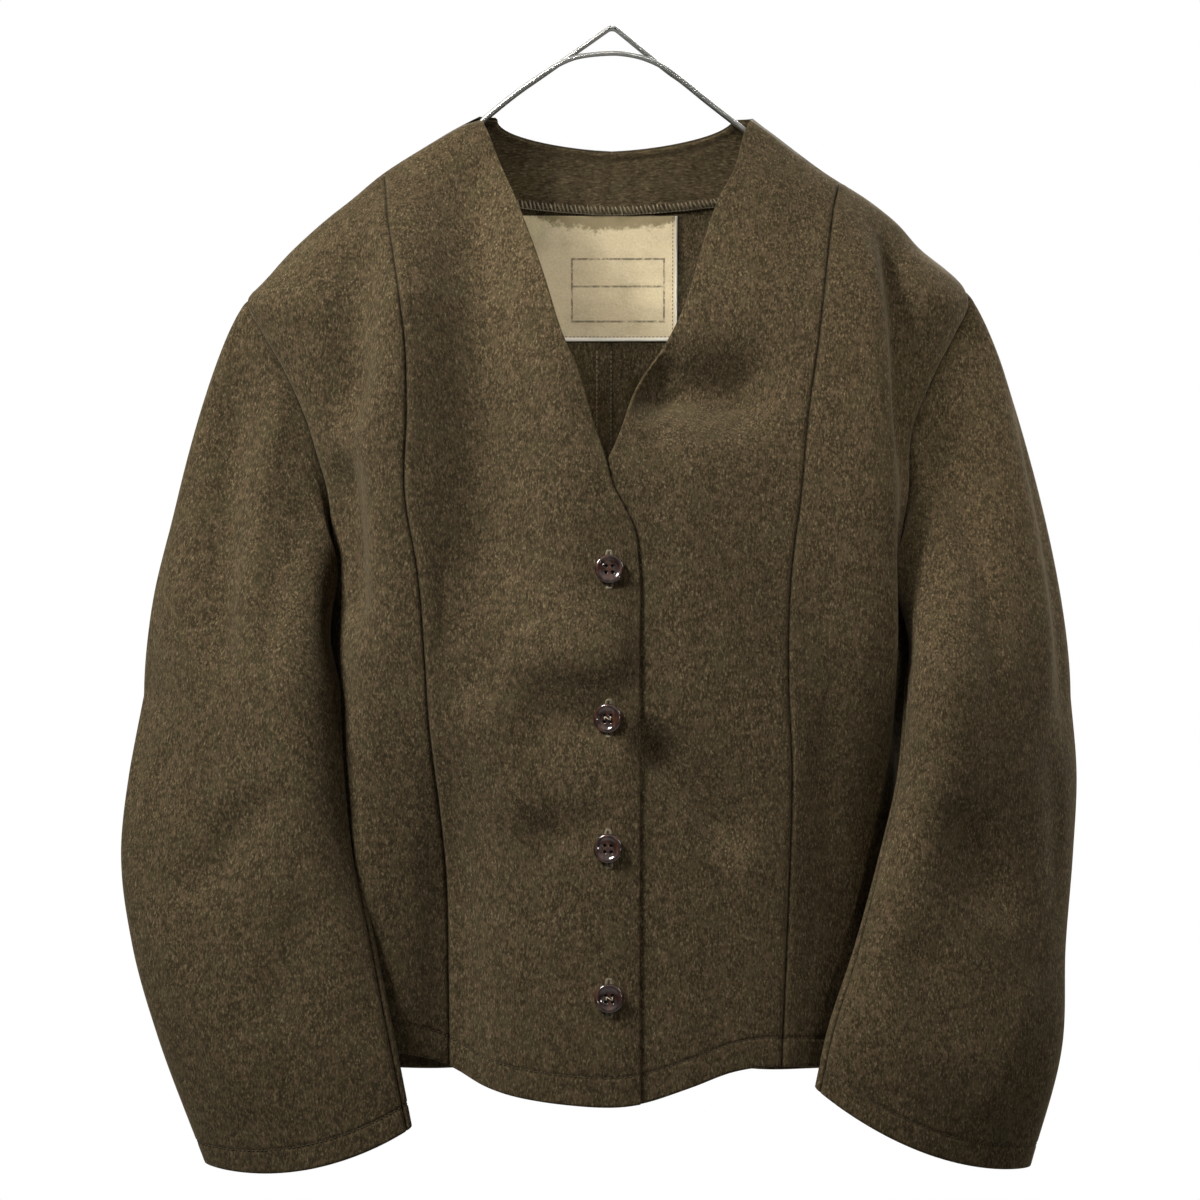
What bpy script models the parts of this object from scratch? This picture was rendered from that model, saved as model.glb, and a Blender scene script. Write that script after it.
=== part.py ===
"""Collarless wool liner jacket, buttoned, hanging on a hanger bent from one loop of wire.

Sizes and tables are millimetres and degrees. MM turns them to metres where a mesh is made.
The origin is the inside of the hanger's peak, where a hook bears. +X is the wearer's left,
+Y the back and +Z up. A drop is a distance below the origin, and a turn is the angle round the
body: 0 at the centre front, -90 at the wearer's right side, 90 at the left and 180 at the back.
"""

import math

import bmesh
import bpy
import numpy as np
from mathutils import Matrix, Vector

MM = 0.001

# Cloth
WOOL = 2.0
FACING_THICK = 1.6
LABEL_THICK = 1.0
SEAM_GAP = 0.3
SKIN_GAP = 1.2
ARMHOLE_EXTRA_GAP = 0.7
HEM_EXTRA = 1.4
HEM_WIDTH = 17.0
LAP_STEP = 2.2
LAP_RAMP = (26.0, 52.0)

# Armholes and neck
SHOULDER_DROP = {"right": 172.0, "left": 166.0}
UNDERARM_DROP = 386.0
ARMHOLE_FRONT = 22.0
ARMHOLE_BACK = 28.0
NECK_DROP = {"right": 53.5, "left": 55.0}
BACK_NECK_DROP = 73.0
FACING_DEPTH = 39.0
FACING_END_DEPTH = 27.0
FACING_END_TURN = 110.0
LABEL_SIDES = (-65.0, 43.0)
LABEL_DROPS = (112.9, 193.5)

# Buttons
BUTTON_DROPS = (346.0, 436.5, 516.0, 607.0)
BUTTON_SIDE = -2.0
BUTTON_HOLE = 2.0
BUTTON_HOLE_APART = 4.2
BUTTON_CLEAR = 0.5
BUTTON_STEPS = 24

# Half section of a button from the middle of its face over the rim to the middle of its back: radius, height.
BUTTON_PROFILE = (
    (0.0, 2.3),
    (3.6, 2.3),
    (5.6, 2.9),
    (6.9, 3.5),
    (8.1, 3.4),
    (9.0, 2.4),
    (8.6, 0.9),
    (6.4, 0.0),
    (0.0, 0.0),
)

# Hanger
WIRE_THICK = 3.4
WIRE_APART = 3.7
WIRE_UNDER_RIDGE = 7.6
WIRE_REACH = 198.0
WIRE_END_APART = 9.0
WIRE_END_SPREAD = (165.0, 200.0)
PEAK_BEND = 6.0
PEAK_HALF_ANGLE = 38.0
ARM_START = {"right": 88.0, "left": 116.0}
PEAK_JOIN = {"right": 40.0, "left": 30.0}

# Arch of the hanger between the arms that bear on the shoulders: drop at a place across.
ARCH = (
    (-79, 54.4),
    (-61.4, 40.2),
    (-43.5, 27.6),
    (-32, 20.6),
    (-19.8, 16.4),
    (-2, 14.6),
    (9.7, 15.3),
    (21.6, 18.2),
    (33.4, 23.8),
    (45.2, 32.4),
    (63, 46.8),
    (84.3, 63.2),
    (100, 74.2),
)

# Grid
ARMHOLE_ROWS = 12
SIDE_ROWS = 10
SLEEVE_ROWS = 19
COLUMNS = {"centre_front": 10, "side_front": 9, "back_neck": 5, "back_ridge": 8}
UPPER_FRONT_COLUMNS = 11
UPPER_BACK_COLUMNS = 6

SIDES = {"right": -1.0, "left": 1.0}

# Body sections: drop, half width to the wearer's right and left, depth to the front and back.
BODY_COLUMNS = ("drop", "right", "left", "front", "back")
BODY = (
    (46, 70, 74, 9, 11),
    (52, 82, 86, 13, 15),
    (60, 98, 97, 20, 21),
    (75, 123, 116, 28, 29),
    (90, 145.5, 136, 35, 35),
    (106, 164.5, 161, 42, 41),
    (122, 184, 181, 48, 46),
    (140, 203, 196.5, 54, 51),
    (161, 222, 221, 60, 56),
    (172, 232, 228, 63, 58),
    (195, 226, 223, 68, 63),
    (217, 216, 214, 73, 67),
    (249, 204, 205, 79, 73),
    (281, 195, 200, 85, 78),
    (320, 188, 196, 90, 82),
    (385, 184, 194, 95, 85),
    (450, 181, 190, 97, 84),
    (490, 179, 184, 97, 82),
    (560, 180, 180, 97, 83),
    (620, 183, 182, 98, 86),
    (674, 187, 186, 100, 88),
)
BODY_SQUARENESS = 2.3

# Princess seams: distance from the middle at a drop, below the shoulder.
PRINCESS_TOP = {"right": 90.0, "left": 95.5}
PRINCESS_COLUMNS = ("drop", "right", "left")
PRINCESS = (
    (90, 146, 147),
    (120, 141, 139),
    (150, 136, 134.5),
    (203, 127, 128),
    (245, 125, 122),
    (300, 125, 116.5),
    (346, 118, 110.5),
    (408, 113.5, 108.3),
    (465, 112, 110),
    (550, 110, 107),
    (660, 108, 102),
)

# Neck and front edges: place across the body at a drop.
EDGE_COLUMNS = ("drop", "across")
OVER_EDGE = (
    (54, -84.5),
    (66, -79),
    (85, -72),
    (99, -66),
    (160, -43),
    (198, -31),
    (224, -20),
    (253, -11.7),
    (275, -4.3),
    (294, 0.6),
    (306, 6.7),
    (320, 12.9),
    (340, 15.4),
    (400, 15.8),
    (680, 17),
)
UNDER_EDGE = (
    (56, 89),
    (66, 84.5),
    (92, 77),
    (111, 67),
    (138, 57.5),
    (185, 42.7),
    (204, 33),
    (223, 21),
    (245, 10.5),
    (262, 3.7),
    (278, -3.7),
    (297, -13),
    (320, -19.5),
    (345, -21),
    (680, -21),
)

# Hem: drop at a turn.
HEM_COLUMNS = ("turn", "drop")
HEM = (
    (-200, 673),
    (-180, 674),
    (-135, 672),
    (-90, 652),
    (-60, 643),
    (-40, 646),
    (-25, 664),
    (-10, 672),
    (5, 672),
    (15, 662),
    (22, 654),
    (45, 653),
    (90, 660),
    (135, 672),
    (180, 674),
    (200, 673),
)

# Folds of the body: a line from its top to its low end, bowed sideways, and its height outwards.
FOLD_COLUMNS = ("top_across", "top_drop", "low_across", "low_drop", "bow", "half_width", "height")
FRONT_FOLDS = (
    (-160, 118, -180, 305, 8, 9, -7),
    (-147, 140, -150, 340, 0, 13, 3),
    (-160, 290, -154, 410, -3, 9, -6),
    (-97, 130, -88, 375, 3, 14, -3.5),
    (-110, 470, -107, 840, 0, 17, -15),
    (-66, 520, -64, 760, 0, 26, 4),
    (170, 112, 187, 470, 4, 8, -9),
    (158, 130, 172, 500, 4, 10, 4),
    (118, 150, 112, 420, 3, 15, 2.5),
    (20, 425, 70, 492, 0, 13, -2),
    (74, 480, 82, 760, 0, 26, -6),
)
BACK_FOLDS = (
    (-150, 130, -158, 400, 6, 12, -6),
    (152, 130, 160, 420, -6, 12, -6),
    (-92, 180, -70, 560, 12, 18, -4),
    (96, 200, 84, 600, -8, 18, -4),
    (-60, 480, -56, 820, 4, 24, -9),
    (104, 500, 112, 820, 0, 22, -8),
    (28, 470, 22, 800, 0, 26, 5),
)
FOLD_FADE = 0.3

# Sleeve sections below the underarm: ends of the flat of the sleeve, half its depth, and how far
# its front and back bow down.
SLEEVE_COLUMNS = (
    "share", "outer", "outer_back", "outer_drop", "inner", "inner_back", "inner_drop", "half_depth", "bow",
)
SLEEVES = {
    "right": (
        (0.0, 297, 6, 425, 174, -45, 425, 43, 0),
        (0.17, 306, -1, 475, 171, -53, 475, 39, 0),
        (0.34, 312, -14, 525, 164.5, -61, 525, 33, 0),
        (0.53, 303, -32, 580, 150.5, -76, 580, 29, 0),
        (0.74, 285, -46, 637, 137, -89, 633, 26, 2),
        (1.0, 254, -54, 716, 123, -96, 687, 21, 12),
    ),
    "left": (
        (0.0, 294, 6, 425, 183, -45, 425, 43, 0),
        (0.17, 297, -1, 475, 178, -53, 475, 39, 0),
        (0.34, 293, -14, 525, 166, -61, 525, 33, 0),
        (0.53, 286, -32, 582, 150.5, -76, 576, 29, 0),
        (0.74, 282, -46, 643, 134, -89, 622, 26, 2),
        (1.0, 261, -54, 718, 124, -96, 663, 21, 13),
    ),
}
SLEEVE_SQUARENESS = 2.0
SLEEVE_LENGTH = 560.0
HEAD_SHARE = 0.44
SLEEVE_CLEAR = 2.6
SLEEVE_SOFT = 3.0
SLEEVE_CLEAR_SHARE = 0.07

# Sleeve head: reach out of the armhole and down into the tube at the top, half way and underarm.
HEAD_REACH = (60.0, 45.0, 22.0)
HEAD_FALL = (240.0, 145.0, 45.0)
HEAD_SLOPE = (-0.175, -0.575)

# Folds of the sleeves: angle from the outer edge towards the front, drops, half angle, height.
SLEEVE_FOLD_COLUMNS = ("top_angle", "top_drop", "low_angle", "low_drop", "half_angle", "height")
SLEEVE_FOLDS = {
    "right": (
        (35, 175, 62, 470, 9, 3),
        (118, 470, 60, 560, 14, -5),
        (128, 540, 84, 640, 12, -4),
        (-60, 260, -90, 520, 14, -5),
    ),
    "left": (
        (70, 190, 96, 470, 10, -4),
        (122, 480, 66, 572, 14, -5),
        (126, 560, 80, 650, 12, -4),
        (-64, 260, -96, 520, 14, -5),
    ),
}


def values(table, columns, name):
    """One named column of a table."""
    return np.array([row[columns.index(name)] for row in table], dtype=float)


def along(table, columns, name, at):
    """A column at places along the first one, by cubic pieces, and straight on past the ends."""
    knots = values(table, columns, columns[0])
    heights = values(table, columns, name)
    slopes = np.gradient(heights, knots)
    at = np.asarray(at, dtype=float)
    piece = np.clip(np.searchsorted(knots, at) - 1, 0, len(knots) - 2)
    width = knots[piece + 1] - knots[piece]
    inside = np.clip(at, knots[0], knots[-1])
    share = (inside - knots[piece]) / width
    start = (1 + 2 * share) * (1 - share) ** 2 * heights[piece]
    start += share * (1 - share) ** 2 * width * slopes[piece]
    end = share**2 * (3 - 2 * share) * heights[piece + 1]
    end += share**2 * (share - 1) * width * slopes[piece + 1]
    beyond = np.where(at < knots[0], slopes[0], slopes[-1]) * (at - inside)
    return start + end + beyond


def smooth_step(value):
    """Rises from 0 to 1 with level ends."""
    value = np.clip(value, 0.0, 1.0)
    return value * value * (3.0 - 2.0 * value)


def unit(vectors):
    """Vectors scaled to length 1."""
    return vectors / np.linalg.norm(vectors, axis=-1, keepdims=True)


def body_width(turn, drop):
    """Half width of the body on the side that the turn is on."""
    right = along(BODY, BODY_COLUMNS, "right", drop)
    left = along(BODY, BODY_COLUMNS, "left", drop)
    return np.where(np.sin(np.radians(turn)) < 0.0, right, left)


def body_base(turn, drop):
    """Point of the body without folds: at each drop a ring between an ellipse and a box."""
    turn, drop = np.broadcast_arrays(np.asarray(turn, float), np.asarray(drop, float))
    sine = np.sin(np.radians(turn))
    cosine = np.cos(np.radians(turn))
    power = BODY_SQUARENESS
    scale = (np.abs(sine) ** power + np.abs(cosine) ** power) ** (-1.0 / power)
    front = along(BODY, BODY_COLUMNS, "front", drop)
    back = along(BODY, BODY_COLUMNS, "back", drop)
    depth = np.where(cosine > 0.0, front, back)
    return np.stack([body_width(turn, drop) * sine * scale, -depth * cosine * scale, -drop], axis=-1)


def turn_at(across, drop, side):
    """Turn on the front of the body at a place across it."""
    width = along(BODY, BODY_COLUMNS, side, drop)
    share = np.clip(np.abs(across) / width, 0.0, 1.0)
    forward = (1.0 - share**BODY_SQUARENESS) ** (1.0 / BODY_SQUARENESS)
    return np.sign(across) * np.degrees(np.arctan2(share, forward))


def outward(surface, first, second, first_step, second_step):
    """Unit normal of a surface of two parameters, from small steps in both."""
    across = surface(first + first_step, second) - surface(first - first_step, second)
    down = surface(first, second + second_step) - surface(first, second - second_step)
    return unit(np.cross(down, across))


def fold_sum(folds, across, drop):
    """Height of all folds of a table: a soft ridge or trough along each bowed line."""
    height = np.zeros(np.broadcast(across, drop).shape)
    for top_across, top_drop, low_across, low_drop, bow, half_width, rise in folds:
        share = (drop - top_drop) / (low_drop - top_drop)
        inside = np.clip(share, 0.0, 1.0)
        line = top_across + (low_across - top_across) * inside + 4.0 * bow * inside * (1.0 - inside)
        fade = smooth_step(np.minimum(share, 1.0 - share) / FOLD_FADE)
        height += rise * fade * np.exp(-(((across - line) / half_width) ** 2))
    return height


def body(turn, drop):
    """Point of the outer face of the body cloth, with its folds."""
    base = body_base(turn, drop)
    facing = np.cos(np.radians(turn))
    front = fold_sum(FRONT_FOLDS, base[..., 0], -base[..., 2]) * smooth_step(facing / 0.3)
    back = fold_sum(BACK_FOLDS, base[..., 0], -base[..., 2]) * smooth_step(-facing / 0.3)
    below_ridge = smooth_step((-base[..., 2] - ridge_drop(base[..., 0]) - 4.0) / 40.0)
    height = (front + back) * below_ridge
    return base + outward(body_base, turn, drop, 0.05, 0.05) * height[..., None]


def body_normal(turn, drop):
    """Outward normal of the body cloth."""
    return outward(body, turn, drop, 0.2, 0.2)


def ridge_drop(across):
    """Drop of the shoulder ridge over a place across the body."""
    drops = np.linspace(46.0, 172.0, 127)
    right = along(BODY, BODY_COLUMNS, "right", drops)
    left = along(BODY, BODY_COLUMNS, "left", drops)
    size = np.abs(across)
    return np.where(across < 0.0, np.interp(size, right, drops), np.interp(size, left, drops))


def hem_drop(turn):
    """Drop of the hem at a turn."""
    return along(HEM, HEM_COLUMNS, "drop", turn)


def armhole(side, half):
    """Turns and drops down one half of an armhole, from shoulder to underarm."""
    angle = np.linspace(0.0, math.pi, ARMHOLE_ROWS + 1)
    top = SHOULDER_DROP[side]
    drop = top + (UNDERARM_DROP - top) * (1.0 - np.cos(angle)) / 2.0
    swing = -ARMHOLE_FRONT if half == "front" else ARMHOLE_BACK
    return SIDES[side] * (90.0 + swing * np.sin(angle)), drop


def side_edge(side, half):
    """Turns and drops down a panel's outer edge: armhole, side seam and the hem's turned-up band."""
    turn, drop = armhole(side, half)
    low = float(hem_drop(SIDES[side] * 90.0))
    seam = np.linspace(UNDERARM_DROP, low - HEM_WIDTH, SIDE_ROWS + 1)[1:]
    drop = np.concatenate([drop, seam, [low - HEM_WIDTH + 1.5, low]])
    turn = np.concatenate([turn, np.full(len(drop) - len(turn), SIDES[side] * 90.0)])
    return np.stack([turn, drop], axis=-1)


def row_shares(side):
    """How far down a panel each row lies, the same for every panel of that side."""
    drop = side_edge(side, "front")[:, 1]
    return (drop - drop[0]) / (drop[-1] - drop[0])


def across_edge(side, top, line):
    """Turns and drops down an edge given by its place across the body at each drop."""
    shares = row_shares(side)
    low = top
    for _ in range(4):
        low = float(hem_drop(line(np.array([600.0 if low == top else low]))[0]))
    drop = top + (low - top) * shares
    turn = line(drop)
    turn[0] = SIDES[side] * 90.0
    return np.stack([turn, drop], axis=-1)


def princess_edge(side):
    """Princess seam from the shoulder to the hem."""
    def line(drop):
        return turn_at(SIDES[side] * along(PRINCESS, PRINCESS_COLUMNS, side, drop), drop, side)

    return across_edge(side, PRINCESS_TOP[side], line)


def front_edge(side):
    """Neck edge and front edge of a centre front, from the neck point to the hem."""
    table = OVER_EDGE if side == "right" else UNDER_EDGE

    def line(drop):
        return turn_at(along(table, EDGE_COLUMNS, "across", drop), drop, side)

    return across_edge(side, NECK_DROP[side], line)


def back_edge(side):
    """Centre-back seam from the neck to the hem."""
    turn = np.full(len(row_shares(side)), SIDES[side] * 180.0)
    low = float(hem_drop(180.0))
    return np.stack([turn, BACK_NECK_DROP + (low - BACK_NECK_DROP) * row_shares(side)], axis=-1)


def neck_drop(turn):
    """Drop of the back neck edge at a turn counted on past 180 to the wearer's right side."""
    side = np.where(turn > 180.0, NECK_DROP["right"], NECK_DROP["left"])
    share = 1.0 - np.abs(turn - 180.0) / 90.0
    return side + (BACK_NECK_DROP - side) * (0.6 * share + 0.4 * np.sin(share * math.pi / 2.0))


def ridge_line(side, start, end, count):
    """Turns and drops along the shoulder seam between two drops."""
    drop = np.linspace(start, end, count + 1)
    return np.stack([np.full(count + 1, SIDES[side] * 90.0), drop], axis=-1)


def hem_line(start, end, count):
    """Turns and drops along the hem between two turns."""
    turn = np.linspace(start, end, count + 1)
    return np.stack([turn, hem_drop(turn)], axis=-1)


def spread(turn, drop):
    """Place across the cloth laid flat: distance out from the middle plus half the distance round."""
    base = body_base(turn, drop)
    front = along(BODY, BODY_COLUMNS, "front", drop)
    back = along(BODY, BODY_COLUMNS, "back", drop)
    depth = np.where(base[..., 1] < 0.0, front, back)
    return np.sign(turn) * (np.abs(base[..., 0]) + 0.5 * (depth - np.abs(base[..., 1])))


def turn_of_spread(place, drop, half):
    """Turn with a given spread, found by halving the angle from the centre front or centre back."""
    low = np.zeros_like(place)
    high = np.full_like(place, 90.0)
    for _ in range(40):
        middle = (low + high) / 2.0
        turn = np.sign(place) * (middle if half == "front" else 180.0 - middle)
        wide = np.abs(spread(turn, drop)) > np.abs(place)
        high = np.where(wide, middle, high)
        low = np.where(wide, low, middle)
    middle = (low + high) / 2.0
    return np.sign(place) * (middle if half == "front" else 180.0 - middle)


def patch(first, last, top, low, half):
    """Turns and drops of a grid filled between four edges of the flat cloth, two of them running down."""
    flat = []
    for edge in (first, last, top, low):
        flat.append(np.stack([spread(edge[:, 0], edge[:, 1]), edge[:, 1]], axis=-1))
    first, last, top, low = flat
    down = row_shares("right")[:, None, None]
    over = np.linspace(0.0, 1.0, len(top))[None, :, None]
    between = (1.0 - over) * first[:, None] + over * last[:, None]
    stacked = (1.0 - down) * top[None, :] + down * low[None, :]
    corners = (1.0 - down) * ((1.0 - over) * top[0] + over * top[-1])
    corners = corners + down * ((1.0 - over) * low[0] + over * low[-1])
    filled = between + stacked - corners
    turn = turn_of_spread(filled[..., 0], filled[..., 1], half)
    return np.stack([turn, filled[..., 1]], axis=-1)


def front_grid(side, piece):
    """Turns and drops of a front panel."""
    princess = princess_edge(side)
    if piece == "centre_front":
        other = front_edge(side)
        top = ridge_line(side, PRINCESS_TOP[side], NECK_DROP[side], COLUMNS[piece])
    else:
        other = side_edge(side, "front")
        top = ridge_line(side, PRINCESS_TOP[side], SHOULDER_DROP[side], COLUMNS[piece])
    low = hem_line(princess[-1, 0], other[-1, 0], COLUMNS[piece])
    return patch(princess, other, top, low, "front")


def back_grid(side):
    """Turns and drops of a back panel, its top edge along the neck and then the shoulder seam."""
    middle = back_edge(side)
    outer = side_edge(side, "back")
    turn = np.linspace(180.0, 90.0, COLUMNS["back_neck"] + 1)[:-1]
    counted = turn if side == "left" else 360.0 - turn
    neck = np.stack([SIDES[side] * turn, neck_drop(counted)], axis=-1)
    ridge = ridge_line(side, NECK_DROP[side], SHOULDER_DROP[side], COLUMNS["back_ridge"])
    top = np.concatenate([neck, ridge])
    low = hem_line(middle[-1, 0], outer[-1, 0], len(top) - 1)
    return patch(middle, outer, top, low, "back")


def sleeve_section(side, name, share):
    """A column of a sleeve's table at a share of the way from underarm level to the cuff."""
    return along(SLEEVES[side], SLEEVE_COLUMNS, name, share)


def sleeve_ring(side, angle, share):
    """Point of a sleeve ring: the angle runs from the outer edge to the front, inner edge and back."""
    cosine = np.cos(np.radians(angle))
    sine = np.sin(np.radians(angle))
    power = SLEEVE_SQUARENESS
    scale = (np.abs(sine) ** power + np.abs(cosine) ** power) ** (-1.0 / power)
    ends = {}
    for name in SLEEVE_COLUMNS[1:]:
        ends[name] = sleeve_section(side, name, share)
    out = (ends["outer"] + ends["inner"]) / 2.0 + (ends["outer"] - ends["inner"]) / 2.0 * cosine * scale
    back = (ends["outer_back"] + ends["inner_back"]) / 2.0
    back = back + (ends["outer_back"] - ends["inner_back"]) / 2.0 * cosine * scale
    drop = (ends["outer_drop"] + ends["inner_drop"]) / 2.0
    drop = drop + (ends["outer_drop"] - ends["inner_drop"]) / 2.0 * cosine * scale
    drop = drop + ends["bow"] * sine**2
    return np.stack([SIDES[side] * out, back - ends["half_depth"] * sine * scale, -drop], axis=-1)


def quadratic(at, start, middle, end):
    """Goes through three values at 0, 0.5 and 1."""
    return start * (1 - at) * (1 - 2 * at) + middle * 4 * at * (1 - at) + end * at * (2 * at - 1)


def armhole_point(side, angle):
    """Point of the armhole edge at an angle from the shoulder to the front, underarm and back."""
    top = SHOULDER_DROP[side]
    radians = np.radians(angle)
    drop = top + (UNDERARM_DROP - top) * (1.0 - np.cos(radians)) / 2.0
    swing = np.where(np.sin(radians) > 0.0, -ARMHOLE_FRONT, -ARMHOLE_BACK)
    return body(SIDES[side] * (90.0 + swing * np.sin(radians)), drop)


def sleeve_base(side, angle, share):
    """Point of a sleeve without folds: a curved head out of the armhole, then rings to the cuff."""
    angle, share = np.broadcast_arrays(np.asarray(angle, float), np.asarray(share, float))
    in_head = np.clip(share / HEAD_SHARE, 0.0, 1.0)[..., None]
    in_tube = np.clip((share - HEAD_SHARE) / (1.0 - HEAD_SHARE), 0.0, 1.0)
    start = armhole_point(side, angle)
    end = sleeve_ring(side, angle, np.zeros_like(share))
    fall = (1.0 - np.cos(np.radians(angle))) / 2.0
    reach = quadratic(fall, *HEAD_REACH)
    slope = HEAD_SLOPE[0] + HEAD_SLOPE[1] * np.cos(np.radians(angle))
    leave = np.stack([SIDES[side] * reach, np.zeros_like(reach), slope * reach], axis=-1)
    level = np.zeros_like(fall)
    arrive = np.stack([level, level, -quadratic(fall, *HEAD_FALL)], axis=-1)
    head = (1 + 2 * in_head) * (1 - in_head) ** 2 * start + in_head * (1 - in_head) ** 2 * leave
    head = head + in_head**2 * (3 - 2 * in_head) * end + in_head**2 * (in_head - 1) * arrive
    point = np.where(share[..., None] < HEAD_SHARE, head, sleeve_ring(side, angle, in_tube))
    return clear_of_body(side, point, smooth_step(share / SLEEVE_CLEAR_SHARE))


def clear_of_body(side, point, share):
    """Moves points sideways out of the body, to a clearance that grows with a share from 0 to 1."""
    out = np.abs(point[..., 0])
    drop = -point[..., 2]
    front = along(BODY, BODY_COLUMNS, "front", drop)
    back = along(BODY, BODY_COLUMNS, "back", drop)
    depth = np.where(point[..., 1] < 0.0, front, back)
    inside = np.clip(1.0 - (np.abs(point[..., 1]) / depth) ** BODY_SQUARENESS, 0.0, 1.0)
    limit = along(BODY, BODY_COLUMNS, side, drop) * inside ** (1.0 / BODY_SQUARENESS)
    limit = limit + SLEEVE_CLEAR * share
    pushed = (out + limit + np.sqrt((out - limit) ** 2 + (SLEEVE_SOFT * share) ** 2)) / 2.0
    return np.stack([SIDES[side] * pushed, point[..., 1], point[..., 2]], axis=-1)


def sleeve_shares():
    """Rows down a sleeve: shares of its length, with the turned-up band at the cuff."""
    band = HEM_WIDTH / SLEEVE_LENGTH
    shares = np.linspace(0.0, 1.0 - band, SLEEVE_ROWS + 1)
    return np.concatenate([shares, [1.0 - band + 1.5 / SLEEVE_LENGTH, 1.0]])


def sleeve_out(side, surface, angle, share):
    """Outward normal of a sleeve surface."""
    ahead = np.clip(share + 0.004, 0.0, 1.0)
    behind = np.clip(share - 0.004, 0.0, 1.0)
    down = surface(side, angle, ahead) - surface(side, angle, behind)
    around = surface(side, angle + 1.0, share) - surface(side, angle - 1.0, share)
    return unit(np.cross(down, around)) * -SIDES[side]


def sleeve(side, angle, share):
    """Point of the outer face of a sleeve, with its folds."""
    base = sleeve_base(side, angle, share)
    drop = -base[..., 2]
    height = np.zeros_like(drop)
    for top_angle, top_drop, low_angle, low_drop, half_angle, rise in SLEEVE_FOLDS[side]:
        place = (drop - top_drop) / (low_drop - top_drop)
        line = top_angle + (low_angle - top_angle) * np.clip(place, 0.0, 1.0)
        apart = (angle - line + 180.0) % 360.0 - 180.0
        fade = smooth_step(np.minimum(place, 1.0 - place) / FOLD_FADE)
        height = height + rise * fade * np.exp(-((apart / half_angle) ** 2))
    height = height * smooth_step(share / 0.08)
    return base + sleeve_out(side, sleeve_base, angle, share) * height[..., None]


def facing_out(first, second, like):
    """Unit normal of two directions, turned the same way as another normal."""
    normal = unit(np.cross(first, second))
    return normal * np.sign(np.sum(normal * like, axis=-1, keepdims=True))


def armhole_normals(side, half, beside):
    """Normals down half an armhole seam, half way between the body beside it and the sleeve."""
    angle = np.linspace(0.0, 180.0 if half == "front" else -180.0, ARMHOLE_ROWS + 1)
    seam = armhole_point(side, angle)
    tangent = np.gradient(seam, axis=0)
    turn, drop = armhole(side, half)
    of_body = facing_out(tangent, beside - seam, body_normal(turn, drop))
    next_row = sleeve(side, angle, np.full_like(angle, sleeve_shares()[1]))
    start = sleeve_out(side, sleeve, angle, np.zeros_like(angle))
    of_sleeve = facing_out(tangent, next_row - seam, start)
    return unit(of_body + of_sleeve)


def seam_normals(side):
    """Normals down the front and the back of an armhole seam, the same at the shoulder and underarm."""
    rows = ARMHOLE_ROWS + 1
    beside_front = front_grid(side, "side_front")[:rows, -2]
    beside_back = back_grid(side)[:rows, -2]
    front = armhole_normals(side, "front", body(beside_front[:, 0], beside_front[:, 1]))
    back = armhole_normals(side, "back", body(beside_back[:, 0], beside_back[:, 1]))
    for row in (0, -1):
        front[row] = unit((front[row] + back[row]) * np.array([1.0, 0.0, 1.0]))
        back[row] = front[row]
    return front, back


def edge_shift(points, normals, inner):
    """Moves an edge towards the row beside it by half the seam gap, square to the edge."""
    tangent = unit(np.gradient(points, axis=0))
    inwards = unit(np.cross(tangent, normals))
    facing = np.sign(np.sum(inwards * (inner - points), axis=-1, keepdims=True))
    return inwards * facing * (SEAM_GAP / 2.0)


def seam_shifts(points, normals, seams):
    """Shifts of a grid's seam edges: top, low, first and last."""
    shifts = np.zeros_like(points)
    if "top" in seams:
        shifts[0] += edge_shift(points[0], normals[0], points[1])
    if "low" in seams:
        shifts[-1] += edge_shift(points[-1], normals[-1], points[-2])
    if "first" in seams:
        shifts[:, 0] += edge_shift(points[:, 0], normals[:, 0], points[:, 1])
    if "last" in seams:
        shifts[:, -1] += edge_shift(points[:, -1], normals[:, -1], points[:, -2])
    return shifts


def add_wall(name, outer, normals, thick, seams, material):
    """A closed cloth wall: its outer face is a grid, its inner one lies a thickness inwards."""
    shifts = seam_shifts(outer, normals, seams)
    outer = outer + shifts
    inner = outer - normals * thick
    middle = unit(np.cross(outer[1:, :-1] - outer[:-1, :-1], outer[:-1, 1:] - outer[:-1, :-1]))
    if np.mean(np.sum(middle * normals[:-1, :-1], axis=-1)) < 0.0:
        outer = outer[:, ::-1]
        inner = inner[:, ::-1]
    rows, columns = outer.shape[:2]
    number = np.arange(rows * columns).reshape(rows, columns)
    faces = []
    for grid, turned in ((number, False), (number + rows * columns, True)):
        quads = np.stack([grid[:-1, :-1], grid[1:, :-1], grid[1:, 1:], grid[:-1, 1:]], axis=-1)
        quads = quads.reshape(-1, 4)
        faces.extend((quads[:, ::-1] if turned else quads).tolist())
    rim = np.concatenate([number[0, :-1], number[:-1, -1], number[-1, :0:-1], number[:0:-1, 0]])
    follow = np.roll(rim, -1)
    below = rows * columns
    faces.extend(np.stack([rim, follow, follow + below, rim + below], axis=-1).tolist())
    points = np.concatenate([outer.reshape(-1, 3), inner.reshape(-1, 3)]) * MM
    mesh = bpy.data.meshes.new(name)
    mesh.from_pydata(points.tolist(), [], faces)
    mesh.materials.append(material)
    return add_object(name, mesh)


def add_object(name, data):
    """A named object in the jacket's collection."""
    made = bpy.data.objects.new(name, data)
    bpy.data.collections["liner_jacket"].objects.link(made)
    return made


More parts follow.
